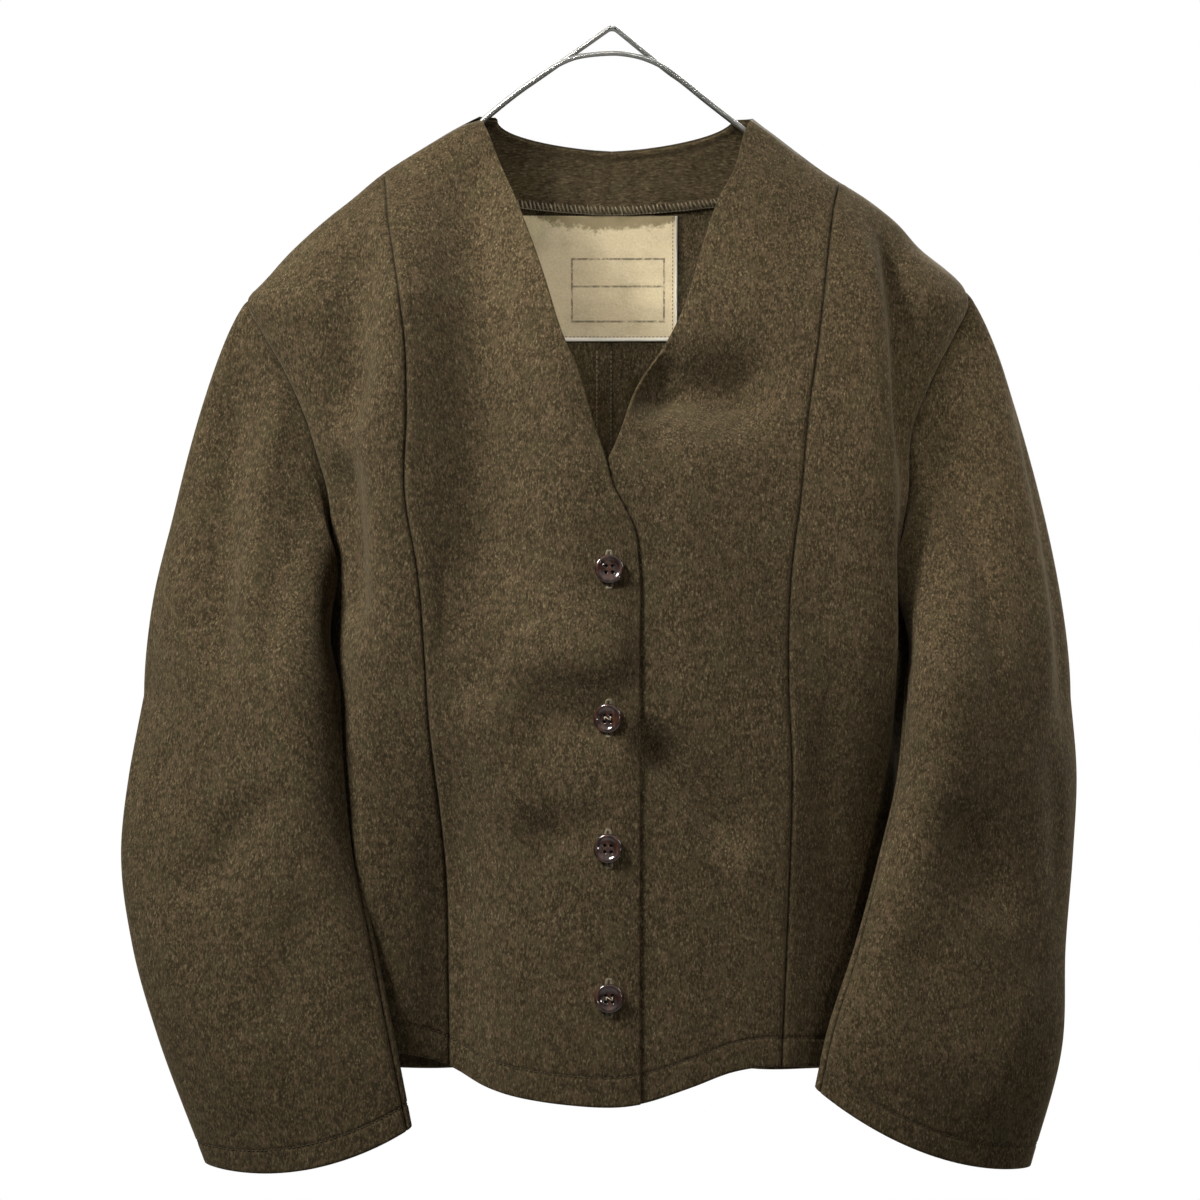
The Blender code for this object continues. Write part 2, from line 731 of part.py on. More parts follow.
def add_material(name, colour, roughness, metallic):
    """A plain material."""
    material = bpy.data.materials.new(name)
    material.use_nodes = True
    shader = material.node_tree.nodes["Principled BSDF"]
    shader.inputs["Base Color"].default_value = (*colour, 1.0)
    shader.inputs["Roughness"].default_value = roughness
    shader.inputs["Metallic"].default_value = metallic
    return material


def hem_thickness(rows, columns):
    """Wall thickness of a hemmed panel: one cloth, and more in the turned-up band."""
    thick = np.full((rows, columns, 1), WOOL)
    thick[-2:] += HEM_EXTRA
    return thick


def lap(side, across):
    """How far a centre front lies out of, or under, the body's line where the fronts lap."""
    near, far = LAP_RAMP
    towards = -across if side == "right" else across
    share = 1.0 - smooth_step((towards - near) / (far - near))
    return share * (LAP_STEP if side == "right" else -LAP_STEP)


def add_body_panels(material):
    """The four fronts and two backs."""
    for side in SIDES:
        front_seam, back_seam = seam_normals(side)
        for piece in ("centre_front", "side_front"):
            grid = front_grid(side, piece)
            normals = body_normal(grid[..., 0], grid[..., 1])
            points = body(grid[..., 0], grid[..., 1])
            seams = ("top", "first")
            if piece == "centre_front":
                points = points + normals * lap(side, points[..., 0])[..., None]
            else:
                normals[: ARMHOLE_ROWS + 1, -1] = front_seam
                seams = ("top", "first", "last")
            thick = hem_thickness(*grid.shape[:2])
            add_wall(f"{side}_{piece}", points, normals, thick, seams, material)
        grid = back_grid(side)
        normals = body_normal(grid[..., 0], grid[..., 1])
        normals[: ARMHOLE_ROWS + 1, -1] = back_seam
        points = body(grid[..., 0], grid[..., 1])
        thick = hem_thickness(*grid.shape[:2])
        add_wall(f"back_{side}", points, normals, thick, ("top", "first", "last"), material)


def add_sleeves(material):
    """An upper and an under sleeve on each side, meeting along the armhole's points."""
    step = 180.0 / ARMHOLE_ROWS
    front = UPPER_FRONT_COLUMNS * step
    back = -UPPER_BACK_COLUMNS * step
    upper_columns = UPPER_FRONT_COLUMNS + UPPER_BACK_COLUMNS
    under_columns = 2 * ARMHOLE_ROWS - upper_columns
    pieces = {
        "upper_sleeve": np.linspace(back, front, upper_columns + 1),
        "under_sleeve": np.linspace(front, back + 360.0, under_columns + 1),
    }
    shares = sleeve_shares()
    for side in SIDES:
        for piece, angles in pieces.items():
            angle, share = np.meshgrid(angles, shares)
            points = sleeve(side, angle, share)
            normals = sleeve_out(side, sleeve, angle, share)
            front_seam, back_seam = seam_normals(side)
            around = np.concatenate([front_seam, back_seam[-2:0:-1]])
            normals[0] = around[np.round(angles / step).astype(int) % len(around)]
            points[0] += unit(points[1] - points[0]) * ARMHOLE_EXTRA_GAP
            thick = hem_thickness(*angle.shape)
            add_wall(f"{side}_{piece}", points, normals, thick, ("top", "first", "last"), material)


def add_facing(material):
    """The strip inside the back neck, made from the backs' inner face moved in."""
    turns = np.linspace(FACING_END_TURN, 360.0 - FACING_END_TURN, 17)
    shares = np.linspace(0.0, 1.0, 4)
    turn, share = np.meshgrid(turns, shares)
    middle = 1.0 - np.abs(turn - 180.0) / (180.0 - FACING_END_TURN)
    depth = FACING_END_DEPTH + (FACING_DEPTH - FACING_END_DEPTH) * smooth_step(middle * 1.6)
    drop = neck_drop(turn) + depth * share + 0.4
    normals = body_normal(turn, drop)
    points = body(turn, drop) - normals * (WOOL + SKIN_GAP)
    add_wall("back_neck_facing", points, normals, FACING_THICK, (), material)


def add_label(material):
    """The patch inside the back, under the facing, made from the backs' inner face moved in."""
    across, drop = np.meshgrid(np.linspace(*LABEL_SIDES, 9), np.linspace(*LABEL_DROPS, 7))
    right = 180.0 - turn_at(across, drop, "right")
    left = 180.0 - turn_at(across, drop, "left")
    turn = np.where(across < 0.0, right, left)
    normals = body_normal(turn, drop)
    points = body(turn, drop) - normals * (WOOL + SKIN_GAP)
    add_wall("label", points, normals, LABEL_THICK, (), material)


def add_buttons(material):
    """Four turned buttons with four holes each, flat on the lapping front."""
    profile = bpy.data.meshes.new("button_profile")
    corners = [(radius * MM, 0.0, height * MM) for radius, height in BUTTON_PROFILE]
    profile.from_pydata(corners, [(i, i + 1) for i in range(len(corners) - 1)], [])
    profile.materials.append(material)
    holes = bpy.data.meshes.new("button_holes")
    builder = bmesh.new()
    for corner in range(4):
        angle = math.radians(45.0 + 90.0 * corner)
        reach = BUTTON_HOLE_APART / 2.0 * math.sqrt(2.0) * MM
        place = Matrix.Translation((reach * math.cos(angle), reach * math.sin(angle), 1.5 * MM))
        bmesh.ops.create_cone(
            builder, cap_ends=True, segments=8, radius1=BUTTON_HOLE / 2.0 * MM,
            radius2=BUTTON_HOLE / 2.0 * MM, depth=8.0 * MM, matrix=place,
        )
    builder.to_mesh(holes)
    builder.free()
    for index, drop in enumerate(BUTTON_DROPS):
        turn = turn_at(np.array([BUTTON_SIDE]), np.array([drop]), "right")
        normal = body_normal(turn, np.array([drop]))[0]
        lift = lap("right", np.array([BUTTON_SIDE]))[0] + BUTTON_CLEAR
        place = (body(turn, np.array([drop]))[0] + normal * lift) * MM
        turned = Vector(normal).to_track_quat("Z", "Y").to_matrix().to_4x4()
        cutter = bpy.data.objects.new(f"button_{index + 1}_holes", holes)
        cutter.matrix_world = Matrix.Translation(place) @ turned
        cutter.hide_render = True
        cutter.display_type = "WIRE"
        bpy.data.collections["cutters"].objects.link(cutter)
        button = add_object(f"button_{index + 1}", profile)
        button.matrix_world = Matrix.Translation(place) @ turned
        screw = button.modifiers.new("turn", "SCREW")
        screw.axis = "Z"
        screw.steps = BUTTON_STEPS
        screw.render_steps = BUTTON_STEPS
        screw.use_merge_vertices = True
        screw.merge_threshold = 0.0001
        drill = button.modifiers.new("holes", "BOOLEAN")
        drill.operation = "DIFFERENCE"
        drill.solver = "EXACT"
        drill.object = cutter


def arm_points(side, count):
    """Across and drop of the stretch of a hanger arm that bears on a shoulder."""
    across = np.linspace(ARM_START[side], WIRE_REACH, count)
    drop = ridge_drop(SIDES[side] * across) + WIRE_UNDER_RIDGE
    return np.stack([across, drop], axis=-1)


def hanger_path():
    """Points of the closed wire: front arms and arch, round the left end, back arms and peak.

    The back wire follows the arch only up to the places where its peak rises out of it.
    """
    half = WIRE_APART / 2.0
    arms = {}
    for side in SIDES:
        line = arm_points(side, 14)
        near, far = WIRE_END_SPREAD
        apart = half + (WIRE_END_APART / 2.0 - half) * smooth_step((line[:, 0] - near) / (far - near))
        arms[side] = (SIDES[side] * line[:, 0], apart, -line[:, 1])
    front = {}
    back = {}
    for side, (across, apart, height) in arms.items():
        front[side] = np.stack([across, -apart, height], axis=-1)
        back[side] = np.stack([across, apart, height], axis=-1)
    across, drop = np.array(ARCH).T
    over = np.stack([across, np.full_like(across, -half), -drop], axis=-1)
    behind = np.stack([across, np.full_like(across, half), -drop], axis=-1)
    behind_left = behind[across > PEAK_JOIN["left"]]
    behind_right = behind[across < -PEAK_JOIN["right"]]
    bend = np.radians(np.linspace(-PEAK_HALF_ANGLE, PEAK_HALF_ANGLE, 7))
    height = WIRE_THICK / 2.0 + PEAK_BEND * (np.cos(bend) - 1.0)
    peak = np.stack([PEAK_BEND * np.sin(bend), np.full_like(bend, half), height], axis=-1)
    ends = {}
    for side in SIDES:
        turn = np.radians(np.linspace(-90.0, 90.0, 7))[1:-1]
        last = front[side][-1]
        radius = WIRE_END_APART / 2.0
        slope = unit(front[side][-1] - front[side][-2])
        out = np.array([slope[0], 0.0, slope[2]])
        backwards = np.array([0.0, 1.0, 0.0])
        centre = np.array([last[0], 0.0, last[2]])
        ends[side] = centre + radius * (np.cos(turn)[:, None] * out + np.sin(turn)[:, None] * backwards)
    return np.concatenate([
        front["right"][::-1], over, front["left"], ends["left"], back["left"][::-1], behind_left[::-1],
        peak[::-1], behind_right[::-1], back["right"], ends["right"][::-1],
    ])


def add_hanger(material):
    """The hanger's wire, one closed loop."""
    path = hanger_path() * MM
    curve = bpy.data.curves.new("hanger_wire", "CURVE")
    curve.dimensions = "3D"
    curve.bevel_depth = WIRE_THICK / 2.0 * MM
    curve.bevel_resolution = 2
    curve.use_fill_caps = True
    spline = curve.splines.new("POLY")
    spline.points.add(len(path) - 1)
    for point, place in zip(spline.points, path):
        point.co = (*place, 1.0)
    spline.use_cyclic_u = True
    curve.materials.append(material)
    add_object("hanger_wire", curve)


def main():
    """Builds the jacket and its hanger in an empty scene."""
    for found in list(bpy.data.objects):
        bpy.data.objects.remove(found)
    for name in ("liner_jacket", "cutters"):
        collection = bpy.data.collections.new(name)
        bpy.context.scene.collection.children.link(collection)
    wool = add_material("wool", (0.115, 0.083, 0.041), 0.95, 0.0)
    cotton = add_material("label_cotton", (0.51, 0.37, 0.16), 0.9, 0.0)
    horn = add_material("button_brown", (0.028, 0.011, 0.007), 0.25, 0.0)
    wire = add_material("wire_steel", (0.72, 0.72, 0.71), 0.25, 1.0)
    add_body_panels(wool)
    add_sleeves(wool)
    add_facing(wool)
    add_label(cotton)
    add_buttons(horn)
    add_hanger(wire)


main()
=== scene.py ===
"""Looks of a collarless wool liner jacket on its wire hanger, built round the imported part.

Sizes and tables are millimetres and degrees, as in the part, and MM turns them to metres where a mesh
is made. The origin is the inside of the hanger's peak, +X the wearer's left, +Y the back, +Z up. A drop
is a distance below the origin. A turn is the angle round the body: 0 at the centre front, -90 at the
wearer's right side, 90 at the left and 180 at the back.
"""

import math

import bpy
import numpy as np
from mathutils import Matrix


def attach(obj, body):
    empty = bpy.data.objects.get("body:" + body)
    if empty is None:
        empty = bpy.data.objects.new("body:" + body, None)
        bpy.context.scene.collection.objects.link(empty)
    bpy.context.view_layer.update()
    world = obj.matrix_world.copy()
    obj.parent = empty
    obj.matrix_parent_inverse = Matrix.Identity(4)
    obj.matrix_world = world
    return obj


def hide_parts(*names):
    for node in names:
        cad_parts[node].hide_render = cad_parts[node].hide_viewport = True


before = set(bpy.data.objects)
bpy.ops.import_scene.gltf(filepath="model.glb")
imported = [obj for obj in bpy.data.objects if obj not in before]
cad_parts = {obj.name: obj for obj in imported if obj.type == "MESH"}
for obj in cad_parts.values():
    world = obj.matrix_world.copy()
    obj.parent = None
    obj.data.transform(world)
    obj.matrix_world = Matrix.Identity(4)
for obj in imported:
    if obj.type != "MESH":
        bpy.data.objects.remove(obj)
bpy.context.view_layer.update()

MM = 0.001
SIDES = {"right": -1.0, "left": 1.0}
UPRIGHT = np.array([0.0, 0.0, 1.0])

# Cloth: thickness, hems, laps and free edges
WOOL = 2.0
FACING_THICK = 1.6
LABEL_THICK = 0.8
SKIN_GAP = 1.2
HEM_EXTRA = 1.4
HEM_WIDTH = 17.0
HEM_RUN = 3.0
HEM_STITCH = 18.0
CUFF_STITCH = 15.0
LAP_STEP = 2.2
LAP_RAMP = (26.0, 52.0)
EDGE_PRESS = 2.0
EDGE_PRESS_RUN = 14.0
EDGE_ROUND = 1.6
EDGE_LEAST = 0.12

# Cloth: relief at seams and stitches, and the painted shade in their bottoms
SEAM_DEPTH = 1.3
SEAM_WIDTH = 0.95
SEAM_PUFF = 0.55
SEAM_PUFF_AT = 4.6
SEAM_PUFF_WIDTH = 2.6
SEAM_THIN = 0.25
SEAM_RUN = 5.0
SEAM_END = 0.2
SEAM_END_RUN = 12.0
SEAM_END_ANGLE = 30.0
CREASE_WIDTH = 0.75
STITCH_DENT = 0.7
STITCH_DENT_WIDTH = 1.1
STITCH_SHADE = 0.2

# Stitches: step along a row, length and radius
HEM_THREAD = (3.1, 2.3, 0.34)
OVERLOCK_THREAD = (2.7, 6.6, 0.5)
OVERLOCK_EDGE_THREAD = (2.4, 2.6, 0.36)
LABEL_THREAD = (2.6, 1.8, 0.24)
BACK_THREAD = (3.0, 2.4, 0.36)

# Form of one stitch, its taper, lift and dip in shares of its radius
STITCH_RINGS = 5
STITCH_SIDES = 6
STITCH_TAPER = 0.9
STITCH_LIFT = 0.9
STITCH_DIP = 1.5

# Slant of overlocking: its middle value, how far it varies, and the step of that from stitch to stitch
OVERLOCK_SLANT = (0.42, 0.16, 2.3)

# Armholes and neck
SHOULDER_DROP = {"right": 172.0, "left": 166.0}
UNDERARM_DROP = 386.0
UNDERARM_SHARE = 0.565
ARMHOLE_FRONT = 22.0
ARMHOLE_BACK = 28.0
ARMHOLE_BLEND = 7.0
ARMHOLE_NEAR = 0.004
NECK_DROP = {"right": 53.5, "left": 55.0}
BACK_NECK_DROP = 73.0
NECK_RISE_TURN = 56.0
NECK_RISE_POWER = 1.5
NECK_SHARE = 0.385
NECK_TURN = 89.99

# Back neck facing: a dent has an edge, the distance from it and a depth
FACING_DEPTH = 39.0
FACING_END_DEPTH = 27.0
FACING_END_TURN = 110.0
FACING_WIDEN = 1.6
FACING_LOWER = 0.4
FACING_RIPPLE = 0.35
FACING_RIPPLE_RATE = 0.9
FACING_COLUMNS = 110
FACING_ROWS = 22
FACING_ROWS_FROM = 0.08
FACING_DENTS = (("top", 5.2, 0.8), ("low", 7.4, 0.7), ("low", 3.0, 0.3))
OVERLOCK_AT = 3.2
OVERLOCK_EDGE_AT = 0.3

# Label: rumples are a product of two waves, by their rates across and down, and one slanted crease
LABEL_SIDES = (-65.0, 43.0)
LABEL_DROPS = (112.9, 193.5)
LABEL_RUMPLE = 0.35
LABEL_WAVES = ((17.0, 5.0), (-3.0, 9.0))
LABEL_CREASE = 0.5
LABEL_CREASE_AT = 0.55
LABEL_CREASE_SLANT = 0.2
LABEL_CREASE_WIDTH = 0.05
LABEL_LEVEL = 0.2
LABEL_FOLD = 0.5
LABEL_FOLD_AT = 1.6
LABEL_FOLD_WIDTH = 1.4
LABEL_FOLDED = ("last", "first", "low")
LABEL_STITCH = 3.2

# Ruled boxes on the label: left, right, top and low in shares of it
LABEL_BOXES = ((0.36, 0.92, 0.34, 0.84), (0.36, 0.92, 0.34, 0.56))
LABEL_RATIO = 0.75
LABEL_RULE = 0.008

# Stitches beside the centre-back seam: places across, gap below the label, end, points and lift
BACK_STITCHES = (-9.8, -0.4)
BACK_STITCH_GAP = 6.0
BACK_STITCH_END = 640.0
BACK_STITCH_POINTS = 160
BACK_STITCH_LIFT = 0.15

# Buttons
BUTTON_DROPS = (346.0, 436.5, 516.0, 607.0)
BUTTON_SIDE = -2.0
BUTTON_CLEAR = 0.2
BUTTON_TURNS = 96
BUTTON_FACE = 4.6
BUTTON_FACE_STEP = 0.22
BUTTON_ROWS = 44
BUTTON_END = 0.3
BUTTON_LEAST = 0.05
BUTTON_HOLE = 2.1
BUTTON_HOLE_APART = 4.0
BUTTON_HOLE_DEPTH = 1.7
BUTTON_HOLE_SOFT = 0.22

# Half section of a button from the middle of its face to the middle of its back: radius, height.
BUTTON_PROFILE = (
    (0.0, 2.35),
    (3.6, 2.4),
    (5.6, 2.85),
    (6.7, 3.35),
    (7.5, 3.5),
    (8.2, 3.35),
    (8.75, 2.9),
    (9.0, 2.3),
    (8.85, 1.5),
    (8.3, 0.8),
    (6.4, 0.05),
    (0.0, 0.0),
)

# Thread that shows on some buttons: place across in half hole distances, way right and up, length.
SEWN_BUTTONS = (1, 3)
BUTTON_THREADS = ((-0.8, (0.0, 1.0), 2.6), (0.1, (1.5, -1.0), 4.0), (1.0, (0.0, 1.0), 2.6))
BUTTON_THREAD_RADIUS = 0.34
BUTTON_THREAD_LIFT = 0.1

# Buttonholes
BUTTONHOLE_HALF = 11.6
BUTTONHOLE_SLIT = 11.0
BUTTONHOLE_WIDE = 1.7
BUTTONHOLE_ROUND = 0.55
BUTTONHOLE_BARS = 60
BUTTONHOLE_BAR = (2.4, 0.36)

# Hanger
WIRE_THICK = 3.4
WIRE_APART = 3.7
WIRE_UNDER_RIDGE = 7.6
WIRE_REACH = 198.0
WIRE_END_APART = 9.0
WIRE_END_SPREAD = (165.0, 200.0)
WIRE_SIDES = 14
WIRE_STEPS = 6
ARM_START = {"right": 88.0, "left": 116.0}
ARM_POINTS = 14
PEAK_BEND = 6.0
PEAK_HALF_ANGLE = 38.0
PEAK_JOIN = {"right": 40.0, "left": 30.0}
BEND_POINTS = 7

# Arch of the hanger between the arms that bear on the shoulders: drop at a place across.
ARCH = (
    (-79, 54.4),
    (-61.4, 40.2),
    (-43.5, 27.6),
    (-32, 20.6),
    (-19.8, 16.4),
    (-2, 14.6),
    (9.7, 15.3),
    (21.6, 18.2),
    (33.4, 23.8),
    (45.2, 32.4),
    (63, 46.8),
    (84.3, 63.2),
    (100, 74.2),
)

# Grids of the cloth
ARMHOLE_ROWS = 96
SIDE_ROW_STEP = 3.4
HEM_ROWS_HEIGHT = 26.0
HEM_ROW_STEP = 1.0
EDGE_ROWS_AT = (0.5, 0.2)
COLUMN_STEP = 3.2
EDGE_COLUMNS_AT = (0.0, 0.35, 0.9, 1.7, 3.0)
FRONT_WIDTHS = {"centre_front": 125.0, "side_front": 110.0}
BACK_WIDTH = 230.0
HEM_GUESS = 600.0
HEM_ROUNDS = 4
HALVINGS = 30
BASE_STEP = 0.05
CLOTH_STEP = 0.2

# Body sections: half width to the wearer's right and left, depth to the front and back.
BODY = (
    ("drop", "right", "left", "front", "back"),
    (46, 70, 74, 9, 11),
    (52, 82, 86, 13, 15),
    (60, 98, 97, 20, 21),
    (75, 123, 116, 28, 29),
    (90, 145.5, 136, 35, 35),
    (106, 164.5, 161, 42, 41),
    (122, 184, 181, 48, 46),
    (140, 203, 196.5, 54, 51),
    (161, 222, 221, 60, 56),
    (172, 232, 228, 63, 58),
    (195, 226, 223, 68, 63),
    (217, 216, 214, 73, 67),
    (249, 204, 205, 79, 73),
    (281, 195, 200, 85, 78),
    (320, 188, 196, 90, 82),
    (385, 184, 194, 95, 85),
    (450, 181, 190, 97, 84),
    (490, 179, 184, 97, 82),
    (560, 180, 180, 97, 83),
    (620, 183, 182, 98, 86),
    (674, 187, 186, 100, 88),
)
BODY_SQUARENESS = 2.3
RIDGE_DROPS = np.linspace(46.0, 172.0, 127)
RIDGE_FADE = (4.0, 40.0)

# Princess seams: distance from the middle, below the shoulder.
PRINCESS_TOP = {"right": 90.0, "left": 95.5}
PRINCESS = (
    ("drop", "right", "left"),
    (90, 146, 147),
    (120, 141, 139),
    (150, 136, 134.5),
    (203, 127, 128),
    (245, 125, 122),
    (300, 125, 116.5),
    (346, 118, 110.5),
    (408, 113.5, 108.3),
    (465, 112, 110),
    (550, 110, 107),
    (660, 108, 102),
)

# Neck and front edges: the wearer's right front laps over, the left one under.
FRONT_EDGES = {
    "right": (
        ("drop", "across"),
        (54, -84.5),
        (66, -79),
        (85, -72),
        (99, -66),
        (160, -43),
        (198, -31),
        (224, -20),
        (253, -11.7),
        (275, -4.3),
        (294, 0.6),
        (306, 6.7),
        (320, 12.9),
        (340, 15.4),
        (400, 15.8),
        (680, 17),
    ),
    "left": (
        ("drop", "across"),
        (56, 89),
        (66, 84.5),
        (92, 77),
        (111, 67),
        (138, 57.5),
        (185, 42.7),
        (204, 33),
        (223, 21),
        (245, 10.5),
        (262, 3.7),
        (278, -3.7),
        (297, -13),
        (320, -19.5),
        (345, -21),
        (680, -21),
    ),
}

# Hem
HEM = (
    ("turn", "drop"),
    (-200, 673),
    (-180, 674),
    (-135, 672),
    (-90, 652),
    (-60, 643),
    (-40, 646),
    (-25, 664),
    (-10, 672),
    (5, 672),
    (15, 662),
    (22, 654),
    (45, 653),
    (90, 660),
    (135, 672),
    (180, 674),
    (200, 673),
)

# Folds of the body: across and drop of a line's first and second end, its bow sideways, its half widths
# to the wearer's right and left of it, seen going down, and its height outwards.
FRONT_FOLDS = (
    (-154, 118, -168, 276, 5, 20, 14, -13),
    (-168, 255, -154, 400, 0, 16, 14, -12),
    (-168, 360, -168, 700, 0, 14, 26, 5),
    (-143, 60, -142, 500, 0, 19, 38, 13),
    (-160, 400, -156, 880, 0, 18, 34, 12),
    (-92, 10, -82, 450, 3, 27, 28, -15),
    (-108, 320, -104, 410, 2, 4, 9, -2.5),
    (-109, 420, -106, 880, 0, 21, 33, -24),
    (-136, 420, -140, 640, 4, 10, 8, -3),
    (-86, 412, -40, 512, -4, 20, 13, 7.5),
    (-50, 508, 6, 501, 0, 16, 14, -3.5),
    (-76, 404, 22, 400, 2, 16, 30, 8.5),
    (-62, 441, 12, 437, 0, 16, 13, -4),
    (5, 315, 18, 900, 0, 64, 58, 7),
    (72, 92, 12, 300, 0, 40, 46, -6),
    (4, 228, 112, 238, 0, 20, 25, -23),
    (51, 228, 24, 241, 0, 3, 4, -1.8),
    (49, 222, 22, 235, 0, 4, 4, 1.4),
    (40, 255, 12, 265, 0, 3, 3.5, -1.6),
    (38, 249, 10, 259, 0, 4, 4, 1.2),
    (26, 285.5, 7, 292, 0, 2.5, 2.5, -1.2),
    (19, 303.5, 4, 310, 0, 2.5, 2.5, -1.2),
    (8, 438, 84, 530, 3, 11, 16, -11),
    (100, 400, 101, 880, 0, 30, 24, 4),
    (166, 100, 184, 305, 3, 8, 14, -10),
    (184, 280, 188, 510, 0, 10, 14, -9),
    (160, 70, 168, 500, 3, 32, 10, 12),
    (136, 380, 140, 640, -4, 10, 12, -3),
)
BACK_FOLDS = (
    (-150, 130, -158, 400, 6, 12, 12, -6),
    (152, 130, 160, 420, -6, 12, 12, -6),
    (-92, 180, -70, 560, 12, 24, 12, -5),
    (96, 200, 84, 600, -8, 12, 24, -5),
    (-60, 480, -56, 820, 4, 24, 24, -9),
    (104, 500, 112, 820, 0, 22, 22, -8),
    (28, 470, 22, 800, 0, 26, 26, 5),
    (-128, 300, -110, 520, 5, 14, 6, -3.4),
    (124, 330, 132, 600, -4, 6, 14, -3.2),
    (-30, 260, -52, 430, 6, 14, 8, -2.4),
    (50, 300, 36, 460, -5, 8, 13, -2.2),
    (-100, 520, -104, 760, 0, 10, 10, 2.6),
    (64, 540, 70, 780, 0, 10, 10, 2.4),
)
FOLD_FADE = 0.3
FOLD_FACING = 0.3

# Sleeve sections below the underarm: ends of the flat of the sleeve, half its depth, and how far
# its front and back bow down.
SLEEVE_COLUMNS = (
    "share", "outer", "outer_back", "outer_drop", "inner", "inner_back", "inner_drop", "half_depth", "bow",
)
SLEEVES = {
    "right": (
        SLEEVE_COLUMNS,
        (0.0, 297, 6, 425, 168, -45, 425, 43, 0),
        (0.17, 306, -1, 475, 165, -53, 475, 39, 0),
        (0.34, 312, -14, 525, 159, -61, 525, 33, 0),
        (0.53, 303, -32, 580, 146, -76, 580, 29, 0),
        (0.74, 285, -46, 637, 134, -89, 633, 26, 2),
        (1.0, 254, -54, 716, 123, -96, 687, 21, 12),
    ),
    "left": (
        SLEEVE_COLUMNS,
        (0.0, 294, 6, 425, 183, -45, 425, 43, 0),
        (0.17, 297, -1, 475, 178, -53, 475, 39, 0),
        (0.34, 293, -14, 525, 166, -61, 525, 33, 0),
        (0.53, 286, -32, 582, 150.5, -76, 576, 29, 0),
        (0.74, 282, -46, 643, 134, -89, 622, 26, 2),
        (1.0, 261, -54, 718, 124, -96, 663, 21, 13),
    ),
}
SLEEVE_LENGTH = 560.0
SLEEVE_CLEAR = 0.9
SLEEVE_SOFT = 1.0
SLEEVE_CLEAR_SHARE = 0.07
SLEEVE_INTO_TROUGH = 0.8
SLEEVE_FOLD_SHARE = 0.08
SLEEVE_MIDDLE_LAG = 0.3

# Sleeve pieces: angles of their two seams from the outer edge towards the front, and about their width.
SLEEVE_PIECES = {"upper_sleeve": (-90.0, 165.0, 225.0), "under_sleeve": (165.0, 270.0, 95.0)}

# Sleeve head: reach out of the armhole and fall into the tube at the top, half way and underarm.
HEAD_SHARE = 0.44
HEAD_REACH = (60.0, 45.0, 2.0)
HEAD_FALL = (240.0, 145.0, 45.0)
HEAD_SLOPE = (-0.175, -0.575)

# Folds of the sleeves: angle from the outer edge towards the front and drop of the top and the low end,
# half angle, height outwards.
SLEEVE_FOLDS = {
    "right": (
        (112, 200, 136, 640, 27, 12),
        (50, 172, 100, 440, 11, 4),
        (34, 185, 84, 440, 13, -10),
        (0, 300, 12, 540, 9, 3),
        (55, 180, 98, 420, 5, 2.0),
        (118, 470, 60, 560, 14, -5),
        (128, 540, 84, 640, 12, -4),
        (-60, 260, -90, 520, 14, -5),
        (96, 250, 108, 440, 8, -2.6),
        (58, 430, 36, 560, 9, -2.2),
        (40, 560, 74, 690, 9, 1.8),
        (100, 600, 92, 720, 8, -1.6),
        (-120, 380, -100, 600, 9, -2.4),
        (-40, 540, -70, 700, 10, 2.0),
    ),
    "left": (
        (112, 200, 136, 620, 27, 12),
        (70, 190, 96, 470, 10, -4),
        (122, 480, 66, 572, 14, -5),
        (126, 560, 80, 650, 12, -4),
        (-64, 260, -96, 520, 14, -5),
        (36, 200, 52, 460, 9, 2.8),
        (18, 210, 34, 470, 10, -4),
        (104, 300, 116, 450, 8, -2.4),
        (54, 440, 30, 570, 9, -2.0),
        (44, 580, 70, 700, 9, 1.8),
        (-118, 400, -98, 610, 9, -2.4),
        (-36, 550, -66, 700, 10, 2.0),
    ),
}

# Colours of the wool, the label, the buttons, the wire and the floor
WOOL_DARK = (0.022, 0.0155, 0.0072)
WOOL_MID = (0.088, 0.064, 0.0315)
WOOL_PALE = (0.29, 0.235, 0.155)
WOOL_RUST = (0.096, 0.061, 0.036)
WOOL_OLIVE = (0.058, 0.050, 0.022)
WOOL_SHEEN = (0.85, 0.70, 0.45, 1.0)
# Painted shade that darkens the wool in the bottom of seams and stitch dents
SEAM_SHADE = (0.007, 0.005, 0.0025)
LABEL_TAN = (0.54, 0.435, 0.262)
LABEL_DARK = (0.19, 0.145, 0.072)
LABEL_PALE = (0.80, 0.71, 0.53)
LABEL_INK = (0.06, 0.05, 0.035)
LABEL_EDGE = (0.88, 0.83, 0.72)
HORN_DARK = (0.014, 0.0055, 0.0035)
HORN_PALE = (0.052, 0.022, 0.013)
# Near black painted into the sunk button holes as their shade
HOLE_PAINTED_SHADE = (0.001, 0.001, 0.001)
WIRE_BRIGHT = (0.30, 0.295, 0.275)
WIRE_DULL = (0.20, 0.19, 0.165)
FLOOR_PALE = (0.86, 0.86, 0.85, 1.0)

# Fibres of the wool: lean and scale of each layer
WOOL_FIBRES = ((0.12, 860.0), (0.75, 780.0), (-0.6, 920.0))

# Sockets of a Mix node that take and give colours
MIX_FIRST = 6
MIX_SECOND = 7
MIX_RESULT = 2

# Camera, floor and surround
CAMERA_AWAY = 2200.0
CAMERA_SIDE = -7.68
CAMERA_DROP = 364.2
FRAME_WIDTH = 768.0
SENSOR_WIDTH = 36.0
CLIP_END = 50.0
FLOOR_DROP = 1600.0
FLOOR_RADIUS = 1000.0
FLOOR_SIDES = 96
WORLD_WHITE = (1.0, 1.0, 1.0, 1.0)
WORLD_LIGHT = 0.03
WINDOW_WAY = (-0.36, -0.86, 0.36)
WINDOW_GLOW = 0.3
SKY_GLOW = 0.8
LEAST_GLOW = 0.03

